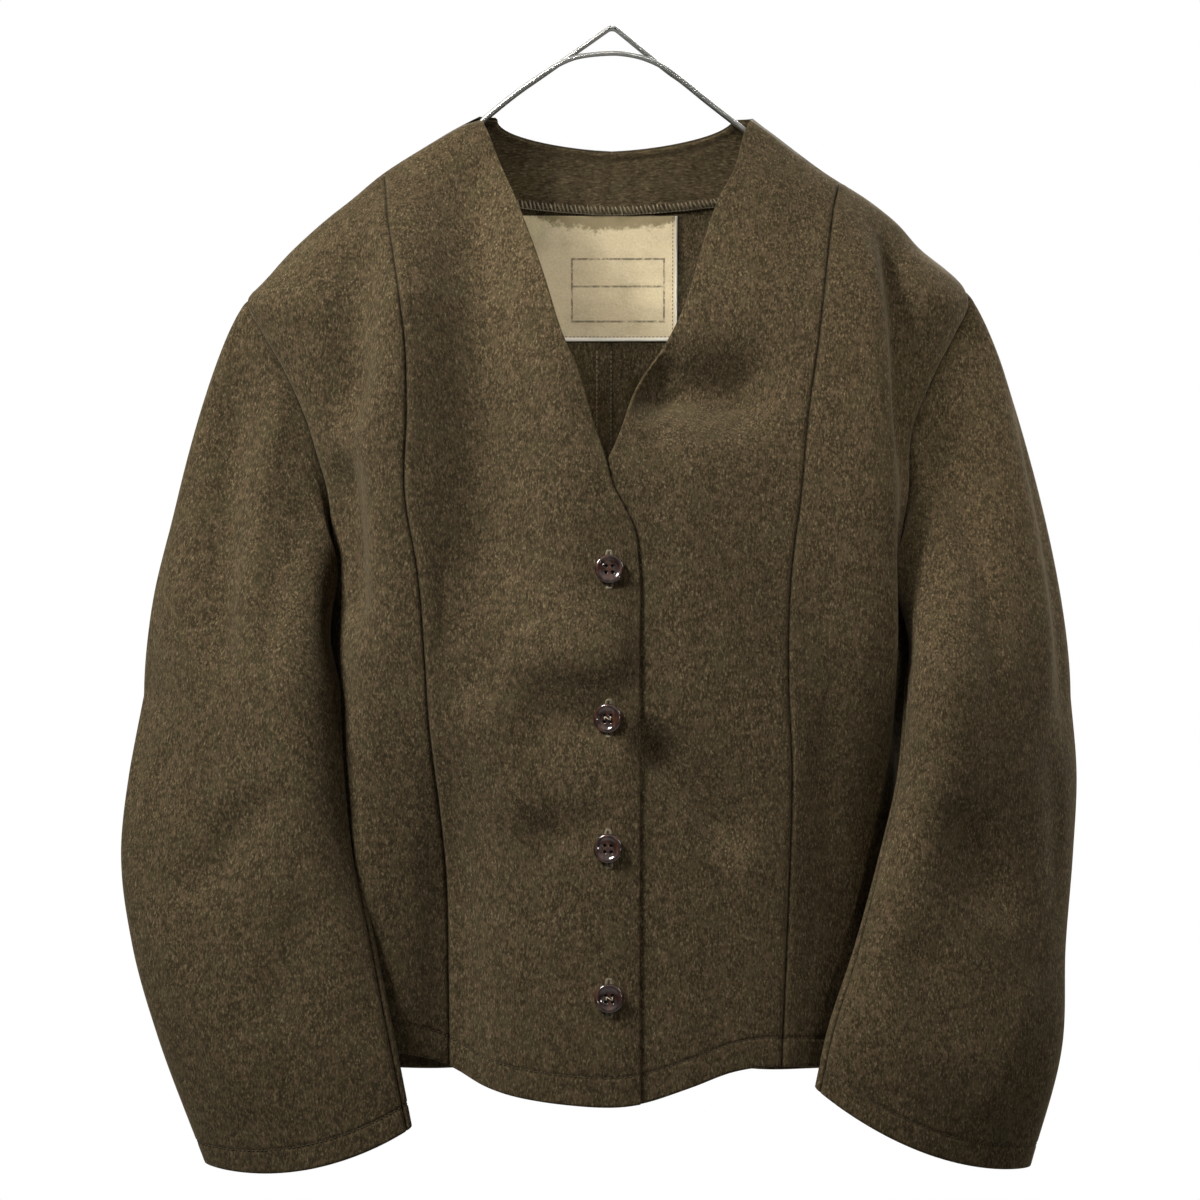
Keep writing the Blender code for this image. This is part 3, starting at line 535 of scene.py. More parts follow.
# Lights: place, target and width in metres, power in watts, colour, spread in degrees.
MIDDLE = (0.0, 0.0, -0.36)
WHITE = (1.0, 1.0, 1.0)
WARM = (1.0, 0.98, 0.95)
LIGHTS = {
    "key": ((-1.07, -0.83, 0.84), (0.0, 0.0, -0.45), 0.45, 7.8, (1.0, 1.0, 0.99), 62.0),
    "right": ((1.15, -0.5, 0.35), (0.3, 0.0, -0.4), 0.5, 1.1, WARM, 70.0),
    "sleeve": ((0.5, -2.1, 0.4), (0.235, -0.05, -0.25), 0.2, 0.12, WARM, 8.0),
    "low": ((0.9, -2.0, -0.4), (0.13, -0.08, -0.52), 0.3, 0.06, WARM, 9.0),
    "front": ((0.3, -2.3, -0.5), MIDDLE, 0.9, 1.1, WARM, 180.0),
    "neck": ((-0.1, -1.5, 0.5), (-0.005, 0.03, -0.15), 0.12, 0.075, WHITE, 9.0),
    "side": ((1.7, 0.9, 0.6), MIDDLE, 0.8, 5.0, WHITE, 70.0),
    "back": ((0.3, 2.2, 0.9), MIDDLE, 1.4, 18.0, WHITE, 75.0),
}

# Name of the UV map that holds a wall's flat places
FLAT_MAP = "label"


def between(start, end, share):
    """Straight from one value to another as a share goes from 0 to 1."""
    return start + (end - start) * share


def smooth_step(value):
    """Rises from 0 to 1 with level ends: 3v^2 - 2v^3."""
    value = np.clip(value, 0.0, 1.0)
    return value * value * (3.0 - 2.0 * value)


def bell(distance, width):
    """Bell curve, 1 in the middle: e to the power of minus the square of distance over width."""
    return np.exp(-((distance / width) ** 2))


def cubic(share, start, leave, end, arrive):
    """The cubic from a start to an end that leaves and arrives with given slopes."""
    first = (1 + 2 * share) * (1 - share) ** 2 * start + share * (1 - share) ** 2 * leave
    return first + share**2 * (3 - 2 * share) * end + share**2 * (share - 1) * arrive


def quadratic(at, start, middle, end):
    """Goes through three values at 0, 0.5 and 1."""
    return start * (1 - at) * (1 - 2 * at) + middle * 4 * at * (1 - at) + end * at * (2 * at - 1)


def along(table, name, at):
    """A table's column at places along its first one, by cubic pieces, and straight on past the ends."""
    columns, *rows = table
    knots, heights = np.array(rows, dtype=float)[:, [0, columns.index(name)]].T
    slopes = np.gradient(heights, knots)
    at = np.asarray(at, dtype=float)
    piece = np.clip(np.searchsorted(knots, at) - 1, 0, len(knots) - 2)
    width = knots[piece + 1] - knots[piece]
    inside = np.clip(at, knots[0], knots[-1])
    share = (inside - knots[piece]) / width
    leave = width * slopes[piece]
    arrive = width * slopes[piece + 1]
    curve = cubic(share, heights[piece], leave, heights[piece + 1], arrive)
    return curve + np.where(at < knots[0], slopes[0], slopes[-1]) * (at - inside)


def unit(vectors):
    """Vectors scaled to length 1."""
    return vectors / np.maximum(np.linalg.norm(vectors, axis=-1, keepdims=True), 1e-9)


def circle(count):
    """Angles at even steps round a circle, in radians."""
    return np.arange(count) * (2.0 * math.pi / count)


def lengths(points, axis=0):
    """Distance of every point of a line, or of each line of a grid, from the line's start."""
    steps = np.linalg.norm(np.diff(points, axis=axis), axis=-1)
    return np.insert(np.cumsum(steps, axis=axis), 0, 0.0, axis=axis)


def body_size(name, drop):
    """Half width to the right or left, or depth to the front or back, of the body at a drop."""
    return along(BODY, name, drop)


def body_base(turn, drop):
    """Point of the body without folds: at each drop a ring between an ellipse and a box."""
    turn, drop = np.broadcast_arrays(np.asarray(turn, float), np.asarray(drop, float))
    sine = np.sin(np.radians(turn))
    cosine = np.cos(np.radians(turn))
    power = BODY_SQUARENESS
    scale = (np.abs(sine) ** power + np.abs(cosine) ** power) ** (-1.0 / power)
    width = np.where(sine < 0.0, body_size("right", drop), body_size("left", drop))
    depth = np.where(cosine > 0.0, body_size("front", drop), body_size("back", drop))
    return np.stack([width * sine * scale, -depth * cosine * scale, -drop], axis=-1)


def turn_at(across, drop, side):
    """Turn on the front of the body at a place across it."""
    share = np.clip(np.abs(across) / body_size(side, drop), 0.0, 1.0)
    forward = (1.0 - share**BODY_SQUARENESS) ** (1.0 / BODY_SQUARENESS)
    return np.sign(across) * np.degrees(np.arctan2(share, forward))


def outward(surface, turn, drop, step):
    """Unit normal of a surface of turn and drop, from small steps in both."""
    across = surface(turn + step, drop) - surface(turn - step, drop)
    down = surface(turn, drop + step) - surface(turn, drop - step)
    return unit(np.cross(down, across))


def end_fade(share):
    """How much of a fold is left at a share along it: all of it, fading to nothing at both ends."""
    return smooth_step(np.minimum(share, 1.0 - share) / FOLD_FADE)


def fold_sum(folds, across, drop):
    """Height of all folds of a table: along each bowed line a bell curve with its own width on each side."""
    height = np.zeros(np.broadcast(across, drop).shape)
    for start, start_drop, end, end_drop, bow, right_width, left_width, rise in folds:
        over = end - start
        down = end_drop - start_drop
        length = math.hypot(over, down)
        share = ((across - start) * over + (drop - start_drop) * down) / length**2
        inside = np.clip(share, 0.0, 1.0)
        apart = ((across - start) * down - (drop - start_drop) * over) / length
        apart = apart - 4.0 * bow * inside * (1.0 - inside)
        half_width = np.where(apart < 0.0, right_width, left_width)
        height += rise * end_fade(share) * bell(apart, half_width)
    return height


def body(turn, drop):
    """Point of the body cloth's outer face: the base, moved out by the folds, which fade at the ridge."""
    base = body_base(turn, drop)
    across = base[..., 0]
    level = -base[..., 2]
    facing = np.cos(np.radians(turn)) / FOLD_FACING
    front = fold_sum(FRONT_FOLDS, across, level) * smooth_step(facing)
    back = fold_sum(BACK_FOLDS, across, level) * smooth_step(-facing)
    start, run = RIDGE_FADE
    height = (front + back) * smooth_step((level - ridge_drop(across) - start) / run)
    return base + outward(body_base, turn, drop, BASE_STEP) * height[..., None]


def body_normal(turn, drop):
    """Outward normal of the body cloth."""
    return outward(body, turn, drop, CLOTH_STEP)


def ridge_drop(across):
    """Drop of the shoulder ridge over a place across the body."""
    drops = {side: np.interp(np.abs(across), body_size(side, RIDGE_DROPS), RIDGE_DROPS) for side in SIDES}
    return np.where(across < 0.0, drops["right"], drops["left"])


def hem_drop(turn):
    """Drop of the hem at a turn."""
    return along(HEM, "drop", turn)


def armhole_angles(half):
    """Angles down the front or the back half of an armhole, one for each row."""
    return np.linspace(0.0, 180.0 if half == "front" else -180.0, ARMHOLE_ROWS + 1)


def armhole_place(side, angle):
    """Turn and drop of the armhole edge at an angle from the shoulder to the front, underarm and back."""
    sine = np.sin(np.radians(angle))
    drop = between(SHOULDER_DROP[side], UNDERARM_DROP, (1.0 - np.cos(np.radians(angle))) / 2.0)
    swing = np.where(sine > 0.0, ARMHOLE_FRONT, ARMHOLE_BACK)
    return SIDES[side] * (90.0 - swing * sine), drop


def side_edge(side, half):
    """Turns and drops down a panel's outer edge: armhole, side seam and the close rows of the hem."""
    turn, drop = armhole_place(side, armhole_angles(half))
    low = float(hem_drop(SIDES[side] * 90.0))
    band = low - HEM_ROWS_HEIGHT
    seam = np.linspace(UNDERARM_DROP, band, int((band - UNDERARM_DROP) / SIDE_ROW_STEP) + 1)[1:]
    hem = np.linspace(band, low, int(HEM_ROWS_HEIGHT / HEM_ROW_STEP) + 1)[1:]
    drop = np.sort(np.concatenate([drop, seam, hem, low - np.array(EDGE_ROWS_AT)]))
    turn = np.concatenate([turn, np.full(len(drop) - len(turn), SIDES[side] * 90.0)])
    return np.stack([turn, drop], axis=-1)


def row_shares(side):
    """How far down a middle edge each row lies: even beside the armhole, then as on the side seam."""
    seam = side_edge(side, "front")[ARMHOLE_ROWS + 1:, 1]
    beside = np.linspace(0.0, UNDERARM_SHARE, ARMHOLE_ROWS + 1)
    below = (seam - UNDERARM_DROP) / (seam[-1] - UNDERARM_DROP)
    return np.concatenate([beside, between(UNDERARM_SHARE, 1.0, below)])


def across_edge(side, top, place):
    """Turns and drops down an edge from a top on the shoulder to the hem, by its place across at a drop."""
    low = HEM_GUESS
    for _ in range(HEM_ROUNDS):
        low = float(hem_drop(turn_at(place(low), low, side)))
    drop = between(top, low, row_shares(side))
    turn = turn_at(place(drop), drop, side)
    turn[0] = SIDES[side] * 90.0
    return np.stack([turn, drop], axis=-1)


def princess_edge(side):
    """Princess seam from the shoulder to the hem."""
    return across_edge(side, PRINCESS_TOP[side], lambda drop: SIDES[side] * along(PRINCESS, side, drop))


def front_edge(side):
    """Neck edge and front edge of a centre front, from the neck point to the hem."""
    return across_edge(side, NECK_DROP[side], lambda drop: along(FRONT_EDGES[side], "across", drop))


def back_edge(side):
    """Centre-back seam from the neck to the hem."""
    drop = between(BACK_NECK_DROP, float(hem_drop(180.0)), row_shares(side))
    return np.stack([np.full_like(drop, SIDES[side] * 180.0), drop], axis=-1)


def neck_drop(turn):
    """Drop of the back neck edge at a turn counted on past 180 to the wearer's right side."""
    end = np.where(turn > 180.0, NECK_DROP["right"], NECK_DROP["left"])
    away = np.clip(np.abs(turn - 180.0) / NECK_RISE_TURN, 0.0, 1.0)
    return between(BACK_NECK_DROP, end, away**NECK_RISE_POWER)


def column_shares(width):
    """Shares across a piece of about that width: close together at both edges, even between."""
    near = np.array(EDGE_COLUMNS_AT) / width
    middle = np.linspace(near[-1], 1.0 - near[-1], int(width / COLUMN_STEP) + 1)
    return np.concatenate([near[:-1], middle, 1.0 - near[-2::-1]])


def spread(turn, drop):
    """Place across the cloth laid flat: distance out from the middle plus half the distance round."""
    base = body_base(turn, drop)
    depth = np.where(base[..., 1] < 0.0, body_size("front", drop), body_size("back", drop))
    return np.sign(turn) * (np.abs(base[..., 0]) + 0.5 * (depth - np.abs(base[..., 1])))


def turn_of_spread(place, drop, half):
    """Turn with a given spread, found by halving the angle from the centre front or centre back."""
    def turn(angle):
        """Turn at an angle from the middle of this half, on the side of the place."""
        return np.sign(place) * (angle if half == "front" else 180.0 - angle)

    low = np.zeros_like(place)
    high = np.full_like(place, 90.0)
    for _ in range(HALVINGS):
        middle = (low + high) / 2.0
        wide = np.abs(spread(turn(middle), drop)) > np.abs(place)
        high = np.where(wide, middle, high)
        low = np.where(wide, low, middle)
    return turn((low + high) / 2.0)


def patch(first, last, top, low, over, down, half):
    """Turns and drops of a grid filled between four edges of the flat cloth, two of them running down.

    A point is the blend of the two side edges, plus that of top and low edge, less that of the corners.
    """
    flat = []
    for edge in (first, last, top, low):
        flat.append(np.stack([spread(edge[:, 0], edge[:, 1]), edge[:, 1]], axis=-1))
    first, last, top, low = flat
    down = down[:, None, None]
    over = over[None, :, None]
    sides = (1.0 - over) * first[:, None] + over * last[:, None]
    ends = (1.0 - down) * top[None, :] + down * low[None, :]
    corners = (1.0 - down) * ((1.0 - over) * top[0] + over * top[-1])
    corners = corners + down * ((1.0 - over) * low[0] + over * low[-1])
    filled = sides + ends - corners
    return turn_of_spread(filled[..., 0], filled[..., 1], half), filled[..., 1]


def hem_line(start, end, over):
    """Turns and drops along the hem between two turns."""
    turn = between(start, end, over)
    return np.stack([turn, hem_drop(turn)], axis=-1)


def front_grid(side, piece):
    """Turns and drops of a front panel, from the princess seam to the front edge or the side."""
    over = column_shares(FRONT_WIDTHS[piece])
    princess = princess_edge(side)
    other = front_edge(side) if piece == "centre_front" else side_edge(side, "front")
    drop = between(PRINCESS_TOP[side], (NECK_DROP if piece == "centre_front" else SHOULDER_DROP)[side], over)
    top = np.stack([np.full_like(drop, SIDES[side] * 90.0), drop], axis=-1)
    low = hem_line(princess[-1, 0], other[-1, 0], over)
    return patch(princess, other, top, low, over, row_shares(side), "front")


def back_grid(side):
    """Turns and drops of a back panel, its top edge along the neck and then the shoulder seam."""
    middle = back_edge(side)
    outer = side_edge(side, "back")
    over = column_shares(BACK_WIDTH)
    over[np.argmin(np.abs(over - NECK_SHARE))] = NECK_SHARE
    turn = 180.0 - NECK_TURN * np.clip(over / NECK_SHARE, 0.0, 1.0)
    counted = turn if side == "left" else 360.0 - turn
    on_ridge = np.clip((over - NECK_SHARE) / (1.0 - NECK_SHARE), 0.0, 1.0)
    ridge = between(NECK_DROP[side], SHOULDER_DROP[side], on_ridge)
    drop = np.where(over < NECK_SHARE, neck_drop(counted), ridge)
    top = np.stack([SIDES[side] * turn, drop], axis=-1)
    low = hem_line(middle[-1, 0], outer[-1, 0], over)
    return patch(middle, outer, top, low, over, row_shares(side), "back")


def sleeve_ring(side, angle, share):
    """Point of a sleeve ring, an ellipse: from the outer edge to the front, inner edge and back."""
    cosine = np.cos(np.radians(angle))
    sine = np.sin(np.radians(angle))
    ends = {name: along(SLEEVES[side], name, share) for name in SLEEVE_COLUMNS[1:]}

    def swing(end):
        """From the outer to the inner end and back, with the cosine of the angle."""
        outer = ends["outer" + end]
        inner = ends["inner" + end]
        return (outer + inner) / 2.0 + (outer - inner) / 2.0 * cosine

    back = swing("_back") - ends["half_depth"] * sine
    drop = swing("_drop") + ends["bow"] * sine**2
    return np.stack([SIDES[side] * swing(""), back, -drop], axis=-1)


def sleeve_base(side, angle, share):
    """Point of a sleeve without folds: a cubic head out of the armhole, then rings to the cuff."""
    angle, share = np.broadcast_arrays(np.asarray(angle, float), np.asarray(share, float))
    in_head = np.clip(share / HEAD_SHARE, 0.0, 1.0)[..., None]
    in_tube = np.clip((share - HEAD_SHARE) / (1.0 - HEAD_SHARE), 0.0, 1.0)
    start = body(*armhole_place(side, angle))
    end = sleeve_ring(side, angle, np.zeros_like(share))
    cosine = np.cos(np.radians(angle))
    fall = (1.0 - cosine) / 2.0
    reach = quadratic(fall, *HEAD_REACH)
    level = np.zeros_like(fall)
    slope = HEAD_SLOPE[0] + HEAD_SLOPE[1] * cosine
    leave = np.stack([SIDES[side] * reach, level, slope * reach], axis=-1)
    arrive = np.stack([level, level, -quadratic(fall, *HEAD_FALL)], axis=-1)
    head = cubic(in_head, start, leave, end, arrive)
    point = np.where(share[..., None] < HEAD_SHARE, head, sleeve_ring(side, angle, in_tube))
    return clear_of_body(side, point, smooth_step(share / SLEEVE_CLEAR_SHARE))


def clear_of_body(side, point, share):
    """Moves points sideways out of the folded body, by a part that grows with a share from 0 to 1."""
    out = np.abs(point[..., 0])
    drop = -point[..., 2]
    ahead = point[..., 1] < 0.0
    depth = np.where(ahead, body_size("front", drop), body_size("back", drop))
    width = body_size(side, drop)
    level = np.clip(np.abs(point[..., 1]) / depth, 0.0, 1.0)
    limit = width * (1.0 - level**BODY_SQUARENESS) ** (1.0 / BODY_SQUARENESS)
    facing = level / np.hypot(level, limit / width)
    front = fold_sum(FRONT_FOLDS, SIDES[side] * limit, drop)
    back = fold_sum(BACK_FOLDS, SIDES[side] * limit, drop)
    folds = np.where(ahead, front, back) * smooth_step(facing / FOLD_FACING)
    limit = limit + np.where(folds < 0.0, SLEEVE_INTO_TROUGH, 1.0) * folds + SLEEVE_CLEAR
    pushed = (out + limit + np.sqrt((out - limit) ** 2 + SLEEVE_SOFT**2)) / 2.0
    return np.stack([SIDES[side] * between(out, pushed, share), point[..., 1], point[..., 2]], axis=-1)


def sleeve_folds(side, angle, drop, share):
    """Height of a sleeve's folds: a bell curve of the angle from a line that runs down the sleeve."""
    height = np.zeros_like(drop)
    for top_angle, top_drop, low_angle, low_drop, half_angle, rise in SLEEVE_FOLDS[side]:
        place = (drop - top_drop) / (low_drop - top_drop)
        line = between(top_angle, low_angle, np.clip(place, 0.0, 1.0))
        apart = (angle - line + 180.0) % 360.0 - 180.0
        height = height + rise * end_fade(place) * bell(apart, half_angle)
    return height * smooth_step(share / SLEEVE_FOLD_SHARE)


def grid_normals(points, outside):
    """Unit normals of a grid from its differences both ways, turned to the side of given directions."""
    normal = unit(np.cross(np.gradient(points, axis=0), np.gradient(points, axis=1)))
    return normal * np.sign(np.mean(np.sum(normal * outside, axis=-1)))


def edge_distances(points):
    """Distance along the cloth of every grid point from the grid's four edges."""
    across = lengths(points, axis=1)
    down = lengths(points, axis=0)
    return {"first": across, "last": across[:, -1:] - across, "top": down, "low": down[-1:] - down}


def cloth_faces(points, normals, seams, free, thick, dents, ease=1.0):
    """Outer and inner face of a cloth wall.

    At a seam both faces sink by a bell curve of the distance and the wall thins. At a free edge the wall
    closes along a quarter circle. A dent is a narrow bell curve at a distance from an edge. The third
    array is 1 in the bottom of a seam, fainter in a dent, and fades beside them; the material paints
    shade into the cloth's colour by it. The ease weakens the seam at the top.
    """
    away = edge_distances(points)
    sink = np.zeros(points.shape[:2])
    crease = np.zeros(points.shape[:2])
    wall = np.broadcast_to(thick, points.shape[:2]).copy()
    below_top = between(SEAM_END, 1.0, smooth_step(away["top"] / SEAM_END_RUN))
    for edge in seams:
        full = ease if edge == "top" else below_top
        sink += full * SEAM_DEPTH * bell(away[edge], SEAM_WIDTH)
        sink -= full * SEAM_PUFF * bell(away[edge] - SEAM_PUFF_AT, SEAM_PUFF_WIDTH)
        crease = np.maximum(crease, bell(away[edge], CREASE_WIDTH))
        wall *= between(SEAM_THIN, 1.0, smooth_step(away[edge] / SEAM_RUN))
    for edge, distance, depth in dents:
        dent = bell(away[edge] - distance, STITCH_DENT_WIDTH)
        sink += depth * dent
        crease = np.maximum(crease, STITCH_SHADE * dent)
    bulge = np.ones(points.shape[:2])
    for edge in free:
        near = 1.0 - np.clip(away[edge] / EDGE_ROUND, 0.0, 1.0)
        bulge = np.minimum(bulge, np.maximum(np.sqrt(1.0 - near**2), EDGE_LEAST))
    outer = points - normals * (sink + wall / 2.0 * (1.0 - bulge))[..., None]
    inner = points - normals * (sink + wall / 2.0 * (1.0 + bulge))[..., None]
    return outer, inner, crease


class Value:
    """A socket of a node tree. Sums, products and the like of values add Math nodes."""

    def __init__(self, tree, socket):
        self.tree = tree
        self.socket = socket

    def math(self, operation, *others):
        """A Math node on this value and others."""
        return node(self.tree, "ShaderNodeMath", {"operation": operation}, dict(enumerate((self, *others))))

    def __add__(self, other):
        return self.math("ADD", other)

    __radd__ = __add__

    def __mul__(self, other):
        return self.math("MULTIPLY", other)

    __rmul__ = __mul__

    def __sub__(self, other):
        return self.math("SUBTRACT", other)

    def __rsub__(self, other):
        return (self * -1.0) + other

    def ramp(self, low, high):
        """0 below a value, 1 above another, smooth between."""
        settings = {"interpolation_type": "SMOOTHSTEP", "clamp": True}
        inputs = {"Value": self, "From Min": low, "From Max": high}
        return node(self.tree, "ShaderNodeMapRange", settings, inputs)


def node(tree, kind, settings, inputs, output=0):
    """A node of a tree with its settings made first, then its sockets set or linked, as a Value."""
    made = tree.nodes.new(kind)
    for name, value in settings.items():
        setattr(made, name, value)
    for name, value in inputs.items():
        socket = made.inputs[name]
        if isinstance(value, Value):
            tree.links.new(value.socket, socket)
        else:
            socket.default_value = value
    return Value(tree, made.outputs[output])


def start_material(name, constants):
    """A new material's tree and shader, with the values that are the same all over the surface."""
    material = bpy.data.materials.new(name)
    material.use_nodes = True
    tree = material.node_tree
    shader = tree.nodes["Principled BSDF"]
    for socket, value in constants.items():
        shader.inputs[socket].default_value = value
    return material, tree, shader


def finish_material(tree, shader, **links):
    """Links values to the shader's sockets, named with spaces as underscores."""
    for name, value in links.items():
        tree.links.new(value.socket, shader.inputs[name.replace("_", " ")])


def colour_mix(tree, factor, first, second):
    """A colour between two, each a Value or a plain colour."""
    first, second = (colour if isinstance(colour, Value) else (*colour, 1.0) for colour in (first, second))
    inputs = {"Factor": factor, MIX_FIRST: first, MIX_SECOND: second}
    return node(tree, "ShaderNodeMix", {"data_type": "RGBA"}, inputs, MIX_RESULT)


def place_on(tree, turned=(0.0, 0.0, 0.0), scale=(1.0, 1.0, 1.0)):
    """Object coordinates turned and scaled, in metres before the scale."""
    place = node(tree, "ShaderNodeTexCoord", {}, {}, "Object")
    inputs = {"Vector": place, "Rotation": turned, "Scale": scale}
    return node(tree, "ShaderNodeMapping", {"vector_type": "POINT"}, inputs)


def axes_of(tree, vector):
    """The three parts of a vector."""
    return [node(tree, "ShaderNodeSeparateXYZ", {}, {"Vector": vector}, axis) for axis in "XYZ"]


def attribute(tree, name):
    """A piece's own attribute."""
    return node(tree, "ShaderNodeAttribute", {"attribute_name": name}, {}, "Fac")


def noise(tree, place, scale, detail=2.0, roughness=0.5):
    """Cloudy noise from 0 to 1."""
    inputs = {"Vector": place, "Scale": scale, "Detail": detail, "Roughness": roughness}
    return node(tree, "ShaderNodeTexNoise", {"noise_dimensions": "3D"}, inputs, "Fac")


def bump(tree, height, strength, distance):
    """A bump in metres."""
    return node(tree, "ShaderNodeBump", {}, {"Height": height, "Strength": strength, "Distance": distance})


def highest(layers):
    """The highest of several values."""
    top, *others = layers
    for layer in others:
        top = top.math("MAXIMUM", layer)
    return top


def wool_material(name, lie, painted_light_lift):
    """Fulled wool: dark ground under short paler fibres that lie several ways, mottled in patches.

    The lie squeezes the pattern's space, so fibres grow long where it is small. The last argument lightens
    all of it, as painted light; the facing's copy takes it.
    """
    material, tree, shader = start_material(name, {
        "Roughness": 0.96, "Sheen Weight": 0.10, "Sheen Roughness": 0.5, "Sheen Tint": WOOL_SHEEN,
        "Specular IOR Level": 0.10,
    })
    layers = []
    for lean, scale in WOOL_FIBRES:
        layers.append(noise(tree, place_on(tree, turned=(0.0, lean, 0.2), scale=lie), scale, detail=1.5))
    fibres = highest(layers)
    plain = place_on(tree)
    grain = noise(tree, plain, 640.0, detail=4.0, roughness=0.65)
    tufts = noise(tree, plain, 210.0, detail=3.0, roughness=0.6)
    clouds = noise(tree, plain, 70.0, detail=3.0)
    patches = noise(tree, plain, 13.0, detail=2.0)
    # The last argument adds painted light to the whole tone
    tone = grain * 0.62 + fibres.ramp(0.47, 0.76) * 0.50 + tufts * 0.36 + painted_light_lift - 0.08
    colour = colour_mix(tree, tone.ramp(0.30, 0.96), WOOL_DARK, WOOL_MID)
    colour = colour_mix(tree, tufts.ramp(0.46, 0.70) * 0.40, colour, WOOL_RUST)
    colour = colour_mix(tree, clouds.ramp(0.48, 0.72) * 0.30, colour, WOOL_OLIVE)
    colour = colour_mix(tree, (fibres + grain * 0.35).ramp(0.82, 1.02) * 0.36, colour, WOOL_PALE)
    colour = colour_mix(tree, patches.ramp(0.35, 0.72) * 0.16, colour, WOOL_DARK)
    # Painted shade: the wool darkens towards the seam shade where the crease attribute is high
    colour = colour_mix(tree, attribute(tree, "crease") * 0.6, colour, SEAM_SHADE)
    height = bump(tree, fibres * 0.6 + grain * 0.5 + tufts * 0.6, 0.6, 0.00022)
    finish_material(tree, shader, Base_Color=colour, Normal=height)
    return material


def thread_material(name, dark, pale):
    """Sewing thread: fine slanted twist, with shade painted a little darker in its grooves."""
    material, tree, shader = start_material(name, {"Roughness": 0.75, "Specular IOR Level": 0.25})
    place = place_on(tree, turned=(0.5, 0.6, 0.4))
    waves = {"Vector": place, "Scale": 520.0, "Distortion": 1.5, "Detail": 1.0}
    twist = node(tree, "ShaderNodeTexWave", {"wave_type": "BANDS"}, waves, "Fac")
    worn = noise(tree, place, 260.0)
    # Half of the mix follows the twist's bump as painted shade in its grooves; the other half is wear
    colour = colour_mix(tree, twist * 0.5 + worn * 0.5, dark, pale)
    finish_material(tree, shader, Base_Color=colour, Normal=bump(tree, twist, 0.6, 0.0002))
    return material


def label_material():
    """Tan cotton: plain weave, stains, a dark band along the ragged top, and faded ruled boxes."""
    material, tree, shader = start_material("label_cloth", {"Roughness": 0.9, "Specular IOR Level": 0.2})
    across, down, _ = axes_of(tree, node(tree, "ShaderNodeUVMap", {"uv_map": FLAT_MAP}, {}))
    place = place_on(tree)
    weave = (across * 840.0).math("SINE") * (down * 640.0).math("SINE") * 0.5 + 0.5
    stains = noise(tree, place, 42.0, detail=4.0, roughness=0.6)
    fine = noise(tree, place, 700.0, detail=2.0)
    rumples = noise(tree, place_on(tree, turned=(0.0, 0.6, 0.0), scale=(1.0, 1.0, 1.9)), 62.0, detail=3.0)
    colour = colour_mix(tree, stains.ramp(0.42, 0.78) * 0.38, LABEL_TAN, LABEL_DARK)
    colour = colour_mix(tree, (fine * 0.6 + weave * 0.4).ramp(0.35, 0.75) * 0.35, colour, LABEL_PALE)
    ragged = down + (across - 0.62) * (across - 0.62) * 0.42
    ragged = ragged - (noise(tree, place, 66.0, detail=3.0) - 0.5) * 0.16
    ragged = ragged - (noise(tree, place, 420.0, detail=5.0, roughness=0.7) - 0.5) * 0.15
    # A dark band below the ragged top edge, deeper where the stains are high
    band = (1.0 - ragged.ramp(0.09, 0.135)) * (stains * 0.5 + 0.6)
    colour = colour_mix(tree, band, colour, LABEL_DARK)
    edge = highest([down.ramp(0.966, 0.970), across.ramp(0.984, 0.988)])
    colour = colour_mix(tree, edge * 0.85, colour, LABEL_EDGE)
    faded = noise(tree, place, 240.0, detail=4.0, roughness=0.65).ramp(0.30, 0.56)
    rules = []
    for left, right, top, low in LABEL_BOXES:
        wide = (across - (left + right) / 2.0).math("ABSOLUTE") - (right - left) / 2.0
        high = ((down - (top + low) / 2.0).math("ABSOLUTE") - (low - top) / 2.0) * LABEL_RATIO
        away = highest([wide, high]).math("ABSOLUTE")
        rules.append(1.0 - away.ramp(LABEL_RULE * 0.5, LABEL_RULE))
    colour = colour_mix(tree, highest(rules) * faded * 0.75, colour, LABEL_INK)
    height = bump(tree, weave * 0.4 + fine * 0.5 + stains * 0.6 + rumples * 3.5, 0.7, 0.0005)
    finish_material(tree, shader, Base_Color=colour, Normal=height)
    return material


def button_material():
    """Dark red-brown horn-like button: polished and faintly streaked, dull in its holes, where near black is
    painted as their shade.
    """
    material, tree, shader = start_material("button_horn", {"Specular IOR Level": 0.62, "IOR": 1.53})
    streaks = noise(tree, place_on(tree, turned=(0.0, 0.5, 0.0), scale=(1.0, 1.0, 0.3)), 330.0, detail=3.0)
    wear = noise(tree, place_on(tree), 900.0, detail=2.0)
    hole = attribute(tree, "hole")
    colour = colour_mix(tree, streaks.ramp(0.35, 0.7), HORN_DARK, HORN_PALE)
    # Painted shade: the sunk holes are coloured near black
    colour = colour_mix(tree, hole, colour, HOLE_PAINTED_SHADE)
    rough = highest([wear.ramp(0.35, 0.8) * 0.06 + 0.08, hole])
    finish_material(tree, shader, Base_Color=colour, Roughness=rough)
    return material


def wire_material():
    """Bright drawn steel wire: fine scratches along it and faint dull spots."""
    material, tree, shader = start_material("bright_wire", {"Metallic": 1.0})
    scratches = noise(tree, place_on(tree, turned=(0.0, 0.6, 0.0), scale=(0.05, 1.0, 1.0)), 900.0)
    dull = noise(tree, place_on(tree), 90.0, detail=4.0, roughness=0.65).ramp(0.56, 0.72)
    colour = colour_mix(tree, dull * 0.5, WIRE_BRIGHT, WIRE_DULL)
    finish_material(tree, shader, Base_Color=colour, Roughness=scratches * 0.08 + dull * 0.14 + 0.30)
    return material


